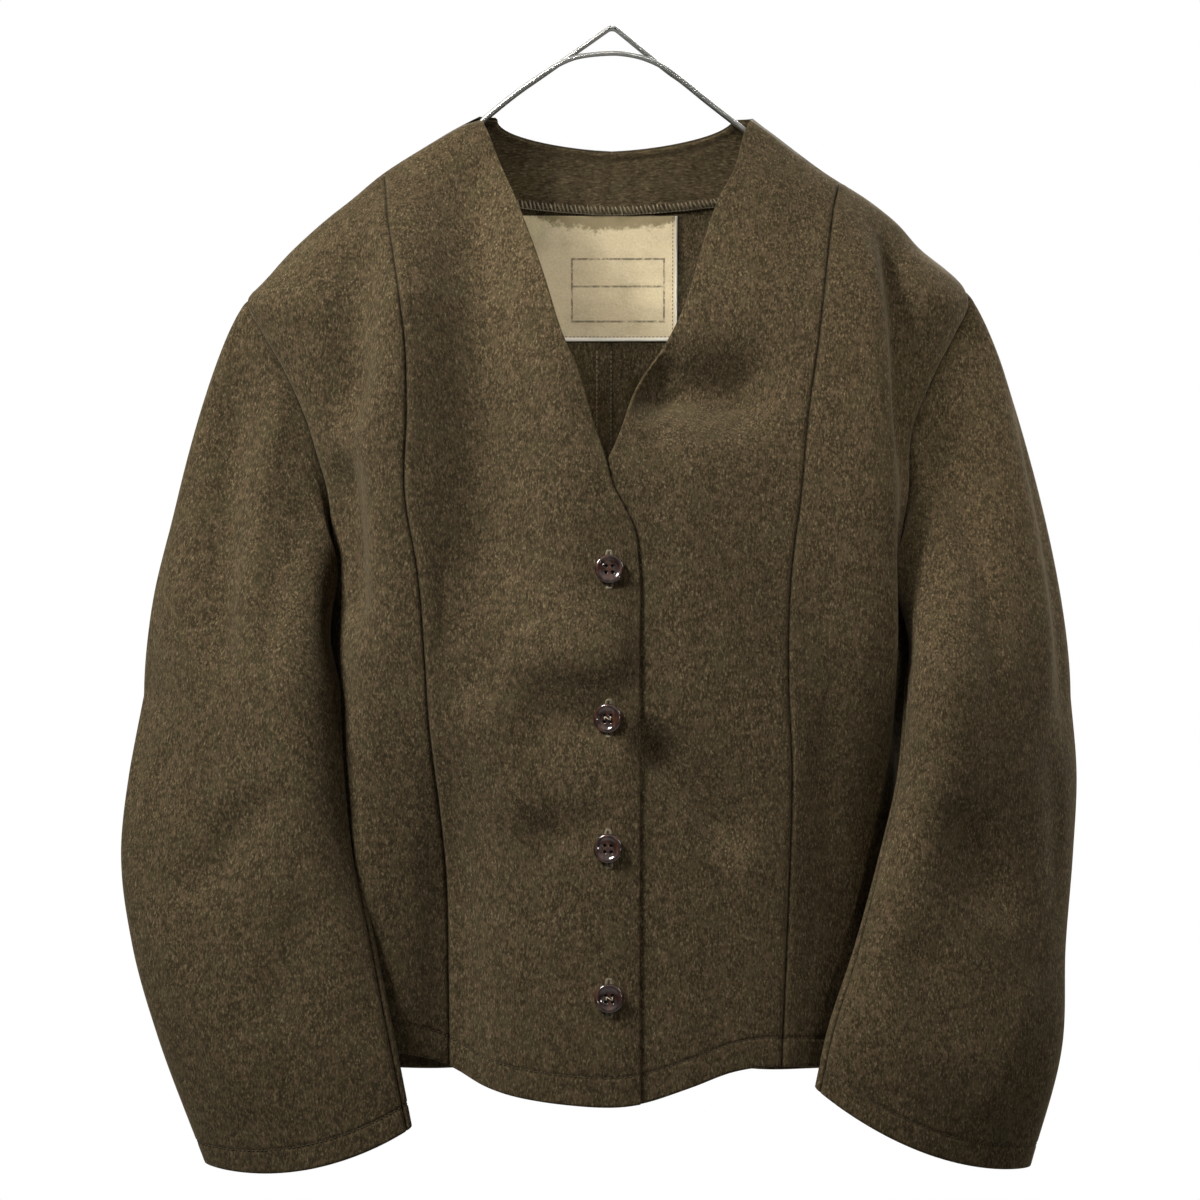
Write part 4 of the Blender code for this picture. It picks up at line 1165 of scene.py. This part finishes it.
# Finishes: the material and its slot
FINISHES = {
    "wool": (wool_material("wool_nap", (1.0, 1.0, 0.42), 0.0), "wool"),
    # The facing is a lighter copy of the wool: painted light inside the back neck
    "facing": (wool_material("facing_nap", (0.3, 1.0, 1.0), 0.12), "wool"),
    "thread": (thread_material("wool_thread", (0.020, 0.014, 0.007), (0.070, 0.050, 0.026)), "wool"),
    "overlock": (thread_material("overlock_thread", (0.085, 0.068, 0.040), (0.24, 0.20, 0.13)), "wool"),
    "pale_thread": (thread_material("pale_thread", (0.30, 0.25, 0.17), (0.55, 0.48, 0.36)), "button_brown"),
    "label": (label_material(), "label_cotton"),
    "button": (button_material(), "button_brown"),
    "wire": (wire_material(), "wire_steel"),
}


def add_piece(name, points, faces, finish):
    """A smooth-shaded mesh piece in one of the finishes, which rides on the root body."""
    material, slot = FINISHES[finish]
    mesh = bpy.data.meshes.new(name)
    mesh.from_pydata((points.reshape(-1, 3) * MM).tolist(), [], list(faces))
    mesh.polygons.foreach_set("use_smooth", np.ones(len(mesh.polygons), dtype=bool))
    mesh.materials.append(material)
    made = bpy.data.objects.new(name, mesh)
    bpy.context.scene.collection.objects.link(made)
    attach(made, "root")
    return made


def keep_attribute(made, name, values):
    """Keeps one number for each point of a piece, for its material to read."""
    made.data.attributes.new(name, "FLOAT", "POINT").data.foreach_set("value", values)


def keep_flat_map(made, places):
    """Keeps flat places of a piece's points as a UV map."""
    mesh = made.data
    corners = np.empty(len(mesh.loops), dtype=np.int32)
    mesh.loops.foreach_get("vertex_index", corners)
    mesh.uv_layers.new(name=FLAT_MAP).data.foreach_set("uv", places[corners].ravel())


def ring_faces(rows, count):
    """Numbers of the points of rows that close round, and the quads between them."""
    number = np.arange(rows * count).reshape(rows, count)
    after = np.roll(number, -1, axis=1)
    quads = np.stack([number[:-1], number[1:], after[1:], after[:-1]], axis=-1)
    return number, quads.reshape(-1, 4)


def wall_faces(rows, columns):
    """Quads of two grids laid over each other, the second turned round, and the rim between them."""
    number = np.arange(rows * columns).reshape(rows, columns)
    quads = np.stack([number[:-1, :-1], number[1:, :-1], number[1:, 1:], number[:-1, 1:]], axis=-1)
    quads = quads.reshape(-1, 4)
    below = rows * columns
    rim = np.concatenate([number[0, :-1], number[:-1, -1], number[-1, :0:-1], number[:0:-1, 0]])
    follow = np.roll(rim, -1)
    band = np.stack([rim, follow, follow + below, rim + below], axis=-1)
    return np.concatenate([quads, quads[:, ::-1] + below, band])


def add_wall(name, replaced, outer, inner, crease, finish, flat=None):
    """A closed cloth wall from its outer and inner grids, in place of a node of the part.

    Its creases, by which its material paints shade into the cloth, are kept as an attribute, and its flat
    places, where they are given, as a UV map.
    """
    grids = [outer, inner, crease[..., None]]
    if flat is not None:
        grids.append(flat)
    down = outer[1:, :-1] - outer[:-1, :-1]
    across = outer[:-1, 1:] - outer[:-1, :-1]
    if np.mean(np.sum(np.cross(down, across) * (outer - inner)[:-1, :-1], axis=-1)) < 0.0:
        grids = [grid[:, ::-1] for grid in grids]
    outer, inner, crease, *maps = [grid.reshape(-1, grid.shape[-1]) for grid in grids]
    rows, columns = grids[0].shape[:2]
    made = add_piece(name, np.concatenate([outer, inner]), wall_faces(rows, columns), finish)
    keep_attribute(made, "crease", np.tile(crease.ravel(), 2))
    for places in maps:
        keep_flat_map(made, np.tile(places, (2, 1)))
    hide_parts(replaced)
    return made


def level_line(points, away, level):
    """For each column, the point that lies a given distance from an edge, by straight steps, and its row."""
    reach = np.abs(away - level)
    row = np.clip(np.argmin(reach, axis=0), 1, len(points) - 2)
    column = np.arange(points.shape[1])
    beside = np.where(reach[row - 1, column] < reach[row + 1, column], row - 1, row + 1)
    first = away[row, column]
    second = away[beside, column]
    share = np.clip((level - first) / np.where(second == first, 1.0, second - first), 0.0, 1.0)[:, None]
    return points[row, column] * (1.0 - share) + points[beside, column] * share, row


def resample(line, normals, step):
    """Places, directions and normals at even steps along a line of points."""
    length = lengths(line)
    at = np.arange(step / 2.0, length[-1] - step / 4.0, step)

    def read(rows):
        """Rows at the even steps, by straight lines."""
        return np.stack([np.interp(at, length, rows[:, axis]) for axis in range(3)], axis=-1)

    tangent = unit(np.gradient(line, axis=0))
    return read(line), unit(read(tangent)), unit(read(normals))


def stitch_mesh(centres, lengthwise, normals, length, radius):
    """Points and faces of many stitches: each a short tube, thin at its ends, which dip into the cloth."""
    sideways = unit(np.cross(lengthwise, normals))
    along_it = np.linspace(-1.0, 1.0, STITCH_RINGS)
    turn = circle(STITCH_SIDES)
    thick = radius * np.sqrt(1.0 - STITCH_TAPER * along_it**4)
    lift = radius * (STITCH_LIFT - STITCH_DIP * along_it**2)
    shape = centres[:, None, None] + lengthwise[:, None, None] * (along_it * length / 2.0)[:, None, None]
    shape = shape + normals[:, None, None] * lift[:, None, None]
    shape = shape + sideways[:, None, None] * (thick[:, None] * np.cos(turn))[..., None]
    shape = shape + normals[:, None, None] * (thick[:, None] * np.sin(turn))[..., None]
    ring, sides = ring_faces(STITCH_RINGS, STITCH_SIDES)
    start = np.stack([ring[0, [0, 1, 2, 3]], ring[0, [0, 3, 4, 5]]])
    end = np.stack([ring[-1, [3, 2, 1, 0]], ring[-1, [5, 4, 3, 0]]])
    each = np.concatenate([sides, start, end])
    faces = each[None] + (np.arange(len(centres)) * ring.size)[:, None, None]
    return shape.reshape(-1, 3), faces.reshape(-1, 4)


def stitch_line(line, normals, thread, slanted=False):
    """A row of stitches along a line of points, or slanted unevenly across it, as overlocking is."""
    step, length, radius = thread
    places, lengthwise, out = resample(line, normals, step)
    if slanted:
        slant, vary, rate = OVERLOCK_SLANT
        uneven = slant + vary * np.sin(np.arange(len(places)) * rate)[:, None]
        lengthwise = unit(unit(np.cross(lengthwise, out)) + lengthwise * uneven)
    return stitch_mesh(places, lengthwise, out, length, radius)


def edge_stitches(points, normals, away, level, thread, slanted=False):
    """A row of stitches at a distance from an edge of a grid."""
    line, row = level_line(points, away, level)
    return stitch_line(line, normals[row, np.arange(len(row))], thread, slanted)


def joined(parts):
    """Points and faces of several meshes as one."""
    points = []
    faces = []
    count = 0
    for places, quads in parts:
        points.append(places)
        faces.append(quads + count)
        count += len(places)
    return np.concatenate(points), np.concatenate(faces)


def lap(side, across):
    """How far a centre front lies out of, or under, the body's line where the fronts lap."""
    near, far = LAP_RAMP
    towards = -across if side == "right" else across
    share = 1.0 - smooth_step((towards - near) / (far - near))
    return share * (LAP_STEP if side == "right" else -LAP_STEP)


def seam_normal(side, angle):
    """Direction half way between the body's and the sleeve's normals along the armhole."""
    of_body = body_normal(*armhole_place(side, angle))
    near = sleeve_base(side, angle, np.full_like(angle, ARMHOLE_NEAR))
    start = sleeve_base(side, angle, np.zeros_like(angle))
    of_sleeve = unit(np.cross(np.gradient(start, axis=0), near - start))
    of_sleeve = of_sleeve * np.sign(np.sum(of_sleeve * of_body, axis=-1, keepdims=True))
    return unit(of_body + of_sleeve)


def towards_seam(normals, shared, distance):
    """Normals that turn to a seam's shared direction within a few millimetres of it."""
    weight = bell(distance, ARMHOLE_BLEND)[..., None]
    return unit(normals * (1.0 - weight) + shared * weight)


def hem_wall(away):
    """Thickness of a hemmed wall: one cloth, and more in the turned-up band."""
    return WOOL + HEM_EXTRA * (1.0 - smooth_step((away - HEM_WIDTH) / HEM_RUN))


def add_body_panel(name, turn, drop, side, piece, threads):
    """One front or back: its wall on the body's form, and its row of hem stitches."""
    points = body(turn, drop)
    normals = body_normal(turn, drop)
    pressed = np.zeros(points.shape[:2])
    if piece == "centre_front":
        points = points + normals * lap(side, points[..., 0])[..., None]
        if side == "right":
            pressed = EDGE_PRESS * (1.0 - smooth_step(edge_distances(points)["last"] / EDGE_PRESS_RUN))
            points = points - normals * pressed[..., None]
        seams = ("first", "top")
        free = ("last", "low")
    else:
        seams = ("first", "last", "top")
        free = ("low",)
        beside = slice(ARMHOLE_ROWS + 1)
        shared = seam_normal(side, armhole_angles("front" if piece == "side_front" else "back"))
        away = edge_distances(points)["last"]
        normals[beside] = towards_seam(normals[beside], shared[:, None], away[beside])
    low = edge_distances(points)["low"]
    wall = np.minimum(hem_wall(low), WOOL + HEM_EXTRA - pressed)
    dents = [("low", HEM_STITCH, STITCH_DENT)]
    outer, inner, crease = cloth_faces(points, normals, seams, free, wall, dents)
    threads.append(edge_stitches(outer, normals, low, HEM_STITCH, HEM_THREAD))
    return add_wall(name + "_cloth", name, outer, inner, crease, "wool")


def add_body(threads):
    """The four fronts and two backs."""
    made = {}
    for side in SIDES:
        for piece in FRONT_WIDTHS:
            name = f"{side}_{piece}"
            made[name] = add_body_panel(name, *front_grid(side, piece), side, piece, threads)
        name = f"back_{side}"
        made[name] = add_body_panel(name, *back_grid(side), side, "back", threads)
    return made


def sleeve_rows():
    """Shares down a sleeve: close at the armhole seam, even, then close at the cuff."""
    close = np.array(EDGE_COLUMNS_AT) / SLEEVE_LENGTH
    band = HEM_ROWS_HEIGHT / SLEEVE_LENGTH
    even = np.linspace(close[-1], 1.0 - band, int(SLEEVE_LENGTH / SIDE_ROW_STEP))
    cuff = np.linspace(1.0 - band, 1.0, int(HEM_ROWS_HEIGHT / HEM_ROW_STEP) + 1)[1:]
    edge = 1.0 - np.array(EDGE_ROWS_AT) / SLEEVE_LENGTH
    return np.sort(np.concatenate([close[:-1], even, cuff, edge]))


def add_sleeve(name, side, span, threads):
    """One sleeve piece: its wall, moved out along its normals by its folds, and its cuff stitches."""
    start, end, width = span
    angles = between(start, end, column_shares(width))
    angle, share = np.meshgrid(angles, sleeve_rows())
    base = sleeve_base(side, angle, share)
    behind = np.clip(share[:, 0] - SLEEVE_MIDDLE_LAG, 0.0, 1.0)
    middle = sleeve_ring(side, np.array([0.0, 180.0])[:, None], behind).mean(axis=0)
    outside = base - middle[:, None]
    height = sleeve_folds(side, angle, -base[..., 2], share)
    points = base + grid_normals(base, outside) * height[..., None]
    away = edge_distances(points)
    normals = towards_seam(grid_normals(points, outside), seam_normal(side, angles)[None], away["top"])
    ease = between(SEAM_END, 1.0, smooth_step(np.abs(angles) / SEAM_END_ANGLE))
    seams = ("top", "first", "last")
    dents = [("low", CUFF_STITCH, STITCH_DENT)]
    outer, inner, crease = cloth_faces(points, normals, seams, ("low",), hem_wall(away["low"]), dents, ease)
    threads.append(edge_stitches(outer, normals, away["low"], CUFF_STITCH, HEM_THREAD))
    return add_wall(name + "_cloth", name, outer, inner, crease, "wool")


def add_sleeves(threads):
    """An upper and an under sleeve on each side."""
    made = {}
    for side in SIDES:
        for piece, span in SLEEVE_PIECES.items():
            name = f"{side}_{piece}"
            made[name] = add_sleeve(name, side, span, threads)
    return made


def inner_back(turn, drop, inwards):
    """Points a distance in from the outer face of the backs, and the normals there."""
    normals = body_normal(turn, drop)
    return body(turn, drop) - normals * inwards, normals


def add_facing():
    """The strip inside the back neck, rippled like a wave that grows downwards, and its overlocking."""
    columns = np.linspace(FACING_END_TURN, 360.0 - FACING_END_TURN, FACING_COLUMNS)
    near = np.array(EDGE_COLUMNS_AT[:-1]) / FACING_DEPTH
    rows = np.concatenate([near, np.linspace(FACING_ROWS_FROM, 1.0, FACING_ROWS)])
    turn, share = np.meshgrid(columns, rows)
    middle = 1.0 - np.abs(turn - 180.0) / (180.0 - FACING_END_TURN)
    depth = between(FACING_END_DEPTH, FACING_DEPTH, smooth_step(middle * FACING_WIDEN))
    drop = neck_drop(turn) + depth * share + FACING_LOWER
    points, normals = inner_back(turn, drop, WOOL + SKIN_GAP + FACING_THICK)
    inward = -normals
    points = points + inward * (FACING_RIPPLE * np.sin(turn * FACING_RIPPLE_RATE) * share)[..., None]
    outer, inner, crease = cloth_faces(points, inward, (), ("top", "low"), FACING_THICK, FACING_DENTS)
    made = add_wall("back_neck_facing_cloth", "back_neck_facing", outer, inner, crease, "facing")
    away = edge_distances(points)["low"]
    overlock = joined([
        edge_stitches(outer, inward, away, OVERLOCK_AT, OVERLOCK_THREAD, slanted=True),
        edge_stitches(outer, inward, away, OVERLOCK_EDGE_AT, OVERLOCK_EDGE_THREAD),
    ])
    return made, add_piece("facing_overlock", *overlock, "overlock")


def label_rumple(across, low):
    """Height of the label's rumples: a product of two waves and a slanted crease, level at top and foot."""
    first, second = (np.sin(rate * across + fall * low) for rate, fall in LABEL_WAVES)
    slanted = low - LABEL_CREASE_AT - LABEL_CREASE_SLANT * across
    crease = LABEL_CREASE * bell(slanted, LABEL_CREASE_WIDTH) * np.sin(across * math.pi)
    ends = smooth_step(low / LABEL_LEVEL) * smooth_step((1.0 - low) / LABEL_LEVEL)
    return (LABEL_RUMPLE * first * second + crease) * ends


def add_label():
    """The tan patch inside the back: slightly rumpled, its lower and side edges folded under."""
    over = column_shares(LABEL_SIDES[1] - LABEL_SIDES[0])
    down = column_shares(LABEL_DROPS[1] - LABEL_DROPS[0])
    across, low = np.meshgrid(over, down)
    place = between(*LABEL_SIDES, across)
    drop = between(*LABEL_DROPS, low)
    turn = 180.0 - np.where(place < 0.0, turn_at(place, drop, "right"), turn_at(place, drop, "left"))
    points, normals = inner_back(turn, drop, WOOL + SKIN_GAP + LABEL_THICK)
    inward = -normals
    points = points + inward * label_rumple(across, low)[..., None]
    away = edge_distances(points)
    fold = np.max([bell(away[edge] - LABEL_FOLD_AT, LABEL_FOLD_WIDTH) for edge in LABEL_FOLDED], axis=0)
    points = points + inward * (LABEL_FOLD * fold)[..., None]
    outer, inner, crease = cloth_faces(points, inward, (), LABEL_FOLDED, LABEL_THICK, [])
    flat = np.stack([across, low], axis=-1)
    made = add_wall("label_patch", "label", outer, inner, crease, "label", flat)
    parts = []
    for edge in LABEL_FOLDED:
        grids = (outer, inward, away[edge])
        if edge != "low":
            grids = (np.swapaxes(grid, 0, 1) for grid in grids)
        parts.append(edge_stitches(*grids, LABEL_STITCH, LABEL_THREAD))
    return made, add_piece("label_stitches", *joined(parts), "thread")


def add_back_stitches():
    """Two rows of stitches inside the back, beside the centre seam."""
    parts = []
    drop = np.linspace(LABEL_DROPS[1] + BACK_STITCH_GAP, BACK_STITCH_END, BACK_STITCH_POINTS)
    for place in BACK_STITCHES:
        turn = 180.0 - turn_at(np.full_like(drop, place), drop, "right")
        line, normals = inner_back(turn, drop, WOOL + BACK_STITCH_LIFT)
        parts.append(stitch_line(line, -normals, BACK_THREAD))
    return add_piece("back_seam_stitches", *joined(parts), "overlock")


def on_front(across, drop):
    """Points and normals on the outer face of the lapping front."""
    turn = turn_at(across, drop, "right")
    normals = body_normal(turn, drop)
    return body(turn, drop) + normals * lap("right", across)[..., None], normals


def button_section():
    """Radii and heights along a button's half section, smooth and closely spaced."""
    corners = np.array(BUTTON_PROFILE)
    length = lengths(corners)
    table = (("length", "radius", "height"), *zip(length, *corners.T))
    close = np.arange(BUTTON_FACE_STEP, BUTTON_FACE, BUTTON_FACE_STEP)
    at = np.concatenate([close, np.linspace(BUTTON_FACE, length[-1] - BUTTON_END, BUTTON_ROWS)])
    return np.maximum(along(table, "radius", at), BUTTON_LEAST), along(table, "height", at)


def button_shape():
    """Points, faces and hole shares of a button: its half section turned round, with four holes sunk in."""
    radius, height = button_section()
    turn = circle(BUTTON_TURNS)
    across = radius[:, None] * np.cos(turn)
    up = radius[:, None] * np.sin(turn)
    half = BUTTON_HOLE_APART / 2.0
    apart = np.hypot(np.abs(across) - half, np.abs(up) - half)
    on_face = np.arange(len(radius)) * BUTTON_FACE_STEP < BUTTON_FACE
    hole = smooth_step((BUTTON_HOLE / 2.0 - apart) / BUTTON_HOLE_SOFT + 0.5) * on_face[:, None]
    tall = height[:, None] - BUTTON_HOLE_DEPTH * hole
    number, around = ring_faces(len(radius), BUTTON_TURNS)
    faces = around.tolist() + [number[0].tolist(), number[-1, ::-1].tolist()]
    return np.stack([across, up, tall], axis=-1).reshape(-1, 3), faces, hole.ravel()


def add_buttons():
    """Four turned buttons, some with thread in their holes, over stitched buttonholes."""
    shape, faces, hole = button_shape()
    sewing = []
    holes = []
    for index, drop in enumerate(BUTTON_DROPS):
        places, normals = on_front(np.array([BUTTON_SIDE]), np.array([drop]))
        normal = normals[0]
        place = places[0] + normal * BUTTON_CLEAR
        right = unit(np.cross(UPRIGHT, normal))
        upward = np.cross(normal, right)
        points = shape @ np.stack([right, upward, normal]) + place
        name = f"button_{index + 1}"
        button = add_piece(name + "_turned", points, faces, "button")
        keep_attribute(button, "hole", hole)
        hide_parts(name)
        if index in SEWN_BUTTONS:
            face = place + normal * (BUTTON_PROFILE[0][1] + BUTTON_THREAD_LIFT)
            for across, (over, rise), length in BUTTON_THREADS:
                centre = face + right * (across * BUTTON_HOLE_APART / 2.0)
                way = unit(right * over + upward * rise)
                sewing.append(stitch_mesh(centre[None], way[None], normals, length, BUTTON_THREAD_RADIUS))
        holes.append(buttonhole(drop))
    add_piece("button_threads", *joined(sewing), "pale_thread")
    return add_piece("buttonhole_stitches", *joined(holes), "overlock")


def buttonhole(drop):
    """Stitches round an upright slit: short bars across its lips, along a long narrow oval."""
    def boxy(value):
        """Value raised to a power below 1, with its sign kept, which squares off an oval."""
        return np.sign(value) * np.abs(value) ** BUTTONHOLE_ROUND

    angle = circle(BUTTONHOLE_BARS)
    tall = BUTTONHOLE_HALF * boxy(np.cos(angle))
    wide = BUTTONHOLE_WIDE * boxy(np.sin(angle))
    places, normals = on_front(BUTTON_SIDE + wide, drop - tall)
    slit = np.clip(tall, -BUTTONHOLE_SLIT, BUTTONHOLE_SLIT)
    middle, _ = on_front(np.full_like(wide, BUTTON_SIDE), drop - slit)
    return stitch_mesh(places, unit(places - middle), normals, *BUTTONHOLE_BAR)


def hanger_path():
    """Points of the closed wire: front arms and arch, round the left end, back arms and peak.

    The back wire follows the arch only up to the places where its peak rises out of it.
    """
    half = WIRE_APART / 2.0
    near, far = WIRE_END_SPREAD
    front = {}
    back = {}
    ends = {}
    turn = np.radians(np.linspace(-90.0, 90.0, BEND_POINTS))[1:-1, None]
    for side in SIDES:
        across = np.linspace(ARM_START[side], WIRE_REACH, ARM_POINTS)
        drop = ridge_drop(SIDES[side] * across) + WIRE_UNDER_RIDGE
        apart = between(half, WIRE_END_APART / 2.0, smooth_step((across - near) / (far - near)))
        front[side] = np.stack([SIDES[side] * across, -apart, -drop], axis=-1)
        back[side] = front[side] * np.array([1.0, -1.0, 1.0])
        out = unit(front[side][-1] - front[side][-2]) * np.array([1.0, 0.0, 1.0])
        centre = front[side][-1] * np.array([1.0, 0.0, 1.0])
        backwards = np.array([0.0, 1.0, 0.0])
        ends[side] = centre + WIRE_END_APART / 2.0 * (np.cos(turn) * out + np.sin(turn) * backwards)
    across, drop = np.array(ARCH).T
    over = np.stack([across, np.full_like(across, -half), -drop], axis=-1)
    behind = np.stack([across, np.full_like(across, half), -drop], axis=-1)
    behind_left = behind[across > PEAK_JOIN["left"]]
    behind_right = behind[across < -PEAK_JOIN["right"]]
    bend = np.radians(np.linspace(-PEAK_HALF_ANGLE, PEAK_HALF_ANGLE, BEND_POINTS))
    height = WIRE_THICK / 2.0 + PEAK_BEND * (np.cos(bend) - 1.0)
    peak = np.stack([PEAK_BEND * np.sin(bend), np.full_like(bend, half), height], axis=-1)
    return np.concatenate([
        front["right"][::-1], over, front["left"], ends["left"], back["left"][::-1], behind_left[::-1],
        peak[::-1], behind_right[::-1], back["right"], ends["right"][::-1],
    ])


def smooth_loop(points, steps):
    """A closed curve through points, by cubic pieces whose slopes follow the neighbours."""
    slopes = (np.roll(points, -1, axis=0) - np.roll(points, 1, axis=0)) / 2.0
    share = (np.arange(steps) / steps)[None, :, None]
    ahead = [np.roll(rows, -1, axis=0)[:, None] for rows in (points, slopes)]
    return cubic(share, points[:, None], slopes[:, None], *ahead).reshape(-1, 3)


def add_hanger():
    """The hanger's wire: a round profile carried along its closed path."""
    path = smooth_loop(hanger_path(), WIRE_STEPS)
    tangent = unit(np.roll(path, -1, axis=0) - np.roll(path, 1, axis=0))
    upward = unit(UPRIGHT - tangent * tangent[:, 2:])
    sideways = np.cross(upward, tangent)
    turn = circle(WIRE_SIDES)[None, :, None]
    rim = np.cos(turn) * upward[:, None] + np.sin(turn) * sideways[:, None]
    ring = path[:, None] + WIRE_THICK / 2.0 * rim
    number = np.arange(len(path) * WIRE_SIDES).reshape(-1, WIRE_SIDES)
    ahead = np.roll(number, -1, axis=0)
    beside = np.roll(number, -1, axis=1)
    across = np.roll(ahead, -1, axis=1)
    faces = np.stack([number, beside, across, ahead], axis=-1).reshape(-1, 4)
    made = add_piece("hanger_bright_wire", ring, faces, "wire")
    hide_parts("hanger_wire")


def declare_sheets(sheets):
    """Goes through every piece of cloth by its kind, sleeves, the facing and label, and the rest, and does
    nothing with any of them.
    """
    for name, made in sheets.items():
        if "sleeve" in name:
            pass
        elif name in ("back_neck_facing", "label"):
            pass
        else:
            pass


def add_camera():
    """The camera straight in front, at the photo's distance."""
    data = bpy.data.cameras.new("camera")
    data.sensor_width = SENSOR_WIDTH
    data.lens = SENSOR_WIDTH * CAMERA_AWAY / FRAME_WIDTH
    data.clip_end = CLIP_END
    made = bpy.data.objects.new("camera", data)
    made.location = (CAMERA_SIDE * MM, -CAMERA_AWAY * MM, -CAMERA_DROP * MM)
    made.rotation_euler = (math.pi / 2.0, 0.0, 0.0)
    bpy.context.scene.collection.objects.link(made)
    bpy.context.scene.camera = made


def add_light(name, place, target, size, power, colour, wide):
    """A square soft light at a place, turned to a target, that spreads over an angle."""
    data = bpy.data.lights.new(name, "AREA")
    data.shape = "SQUARE"
    data.size = size
    data.energy = power
    data.color = colour
    data.spread = math.radians(wide)
    made = bpy.data.objects.new(name, data)
    aim = np.array(target) - np.array(place)
    made.location = place
    made.rotation_euler = (math.acos(-aim[2] / np.linalg.norm(aim)), 0.0, math.atan2(-aim[0], aim[1]))
    bpy.context.scene.collection.objects.link(made)


def add_floor():
    """A pale round floor well below the hem."""
    turn = circle(FLOOR_SIDES)
    level = np.full_like(turn, -FLOOR_DROP)
    rim = np.stack([FLOOR_RADIUS * np.cos(turn), FLOOR_RADIUS * np.sin(turn), level], axis=-1)
    mesh = bpy.data.meshes.new("floor")
    mesh.from_pydata((rim * MM).tolist(), [], [list(range(FLOOR_SIDES))])
    material, _, _ = start_material("pale_floor", {"Base Color": FLOOR_PALE, "Roughness": 0.85})
    mesh.materials.append(material)
    floor = bpy.data.objects.new("floor", mesh)
    bpy.context.scene.collection.objects.link(floor)


def add_surround():
    """A surround that is white to the camera, faint as a light, and glows in reflections.

    Reflections see a sky and a ground that brighten away from the level, and a soft window.
    """
    world = bpy.data.worlds.new("white_surround")
    bpy.context.scene.world = world
    world.use_nodes = True
    tree = world.node_tree
    background = tree.nodes["Background"]
    seen = node(tree, "ShaderNodeLightPath", {}, {}, "Is Camera Ray")
    mirrored = node(tree, "ShaderNodeLightPath", {}, {}, "Is Glossy Ray")
    ways = axes_of(tree, node(tree, "ShaderNodeTexCoord", {}, {}, "Generated"))
    sideways, forwards, height = (way * share for way, share in zip(ways, WINDOW_WAY))
    window = (sideways + forwards + height).ramp(0.88, 0.96) * WINDOW_GLOW
    glow = ways[2].math("ABSOLUTE").ramp(0.2, 0.75) * SKY_GLOW + LEAST_GLOW + window
    strength = seen * (1.0 - WORLD_LIGHT) + mirrored * glow + WORLD_LIGHT
    background.inputs["Color"].default_value = WORLD_WHITE
    tree.links.new(strength.socket, background.inputs["Strength"])


def build():
    """Dresses the whole part and sets it in its studio."""
    add_camera()
    add_floor()
    add_surround()
    for name, light in LIGHTS.items():
        add_light(name, *light)
    bpy.context.scene.view_settings.view_transform = "Standard"
    threads = []
    panels = add_body(threads)
    sleeves = add_sleeves(threads)
    facing, overlock = add_facing()
    label, label_stitches = add_label()
    back_stitches = add_back_stitches()
    buttonholes = add_buttons()
    add_hanger()
    hems = add_piece("hem_stitches", *joined(threads), "thread")
    declare_sheets({**panels, **sleeves, "back_neck_facing": facing, "label": label})


build()
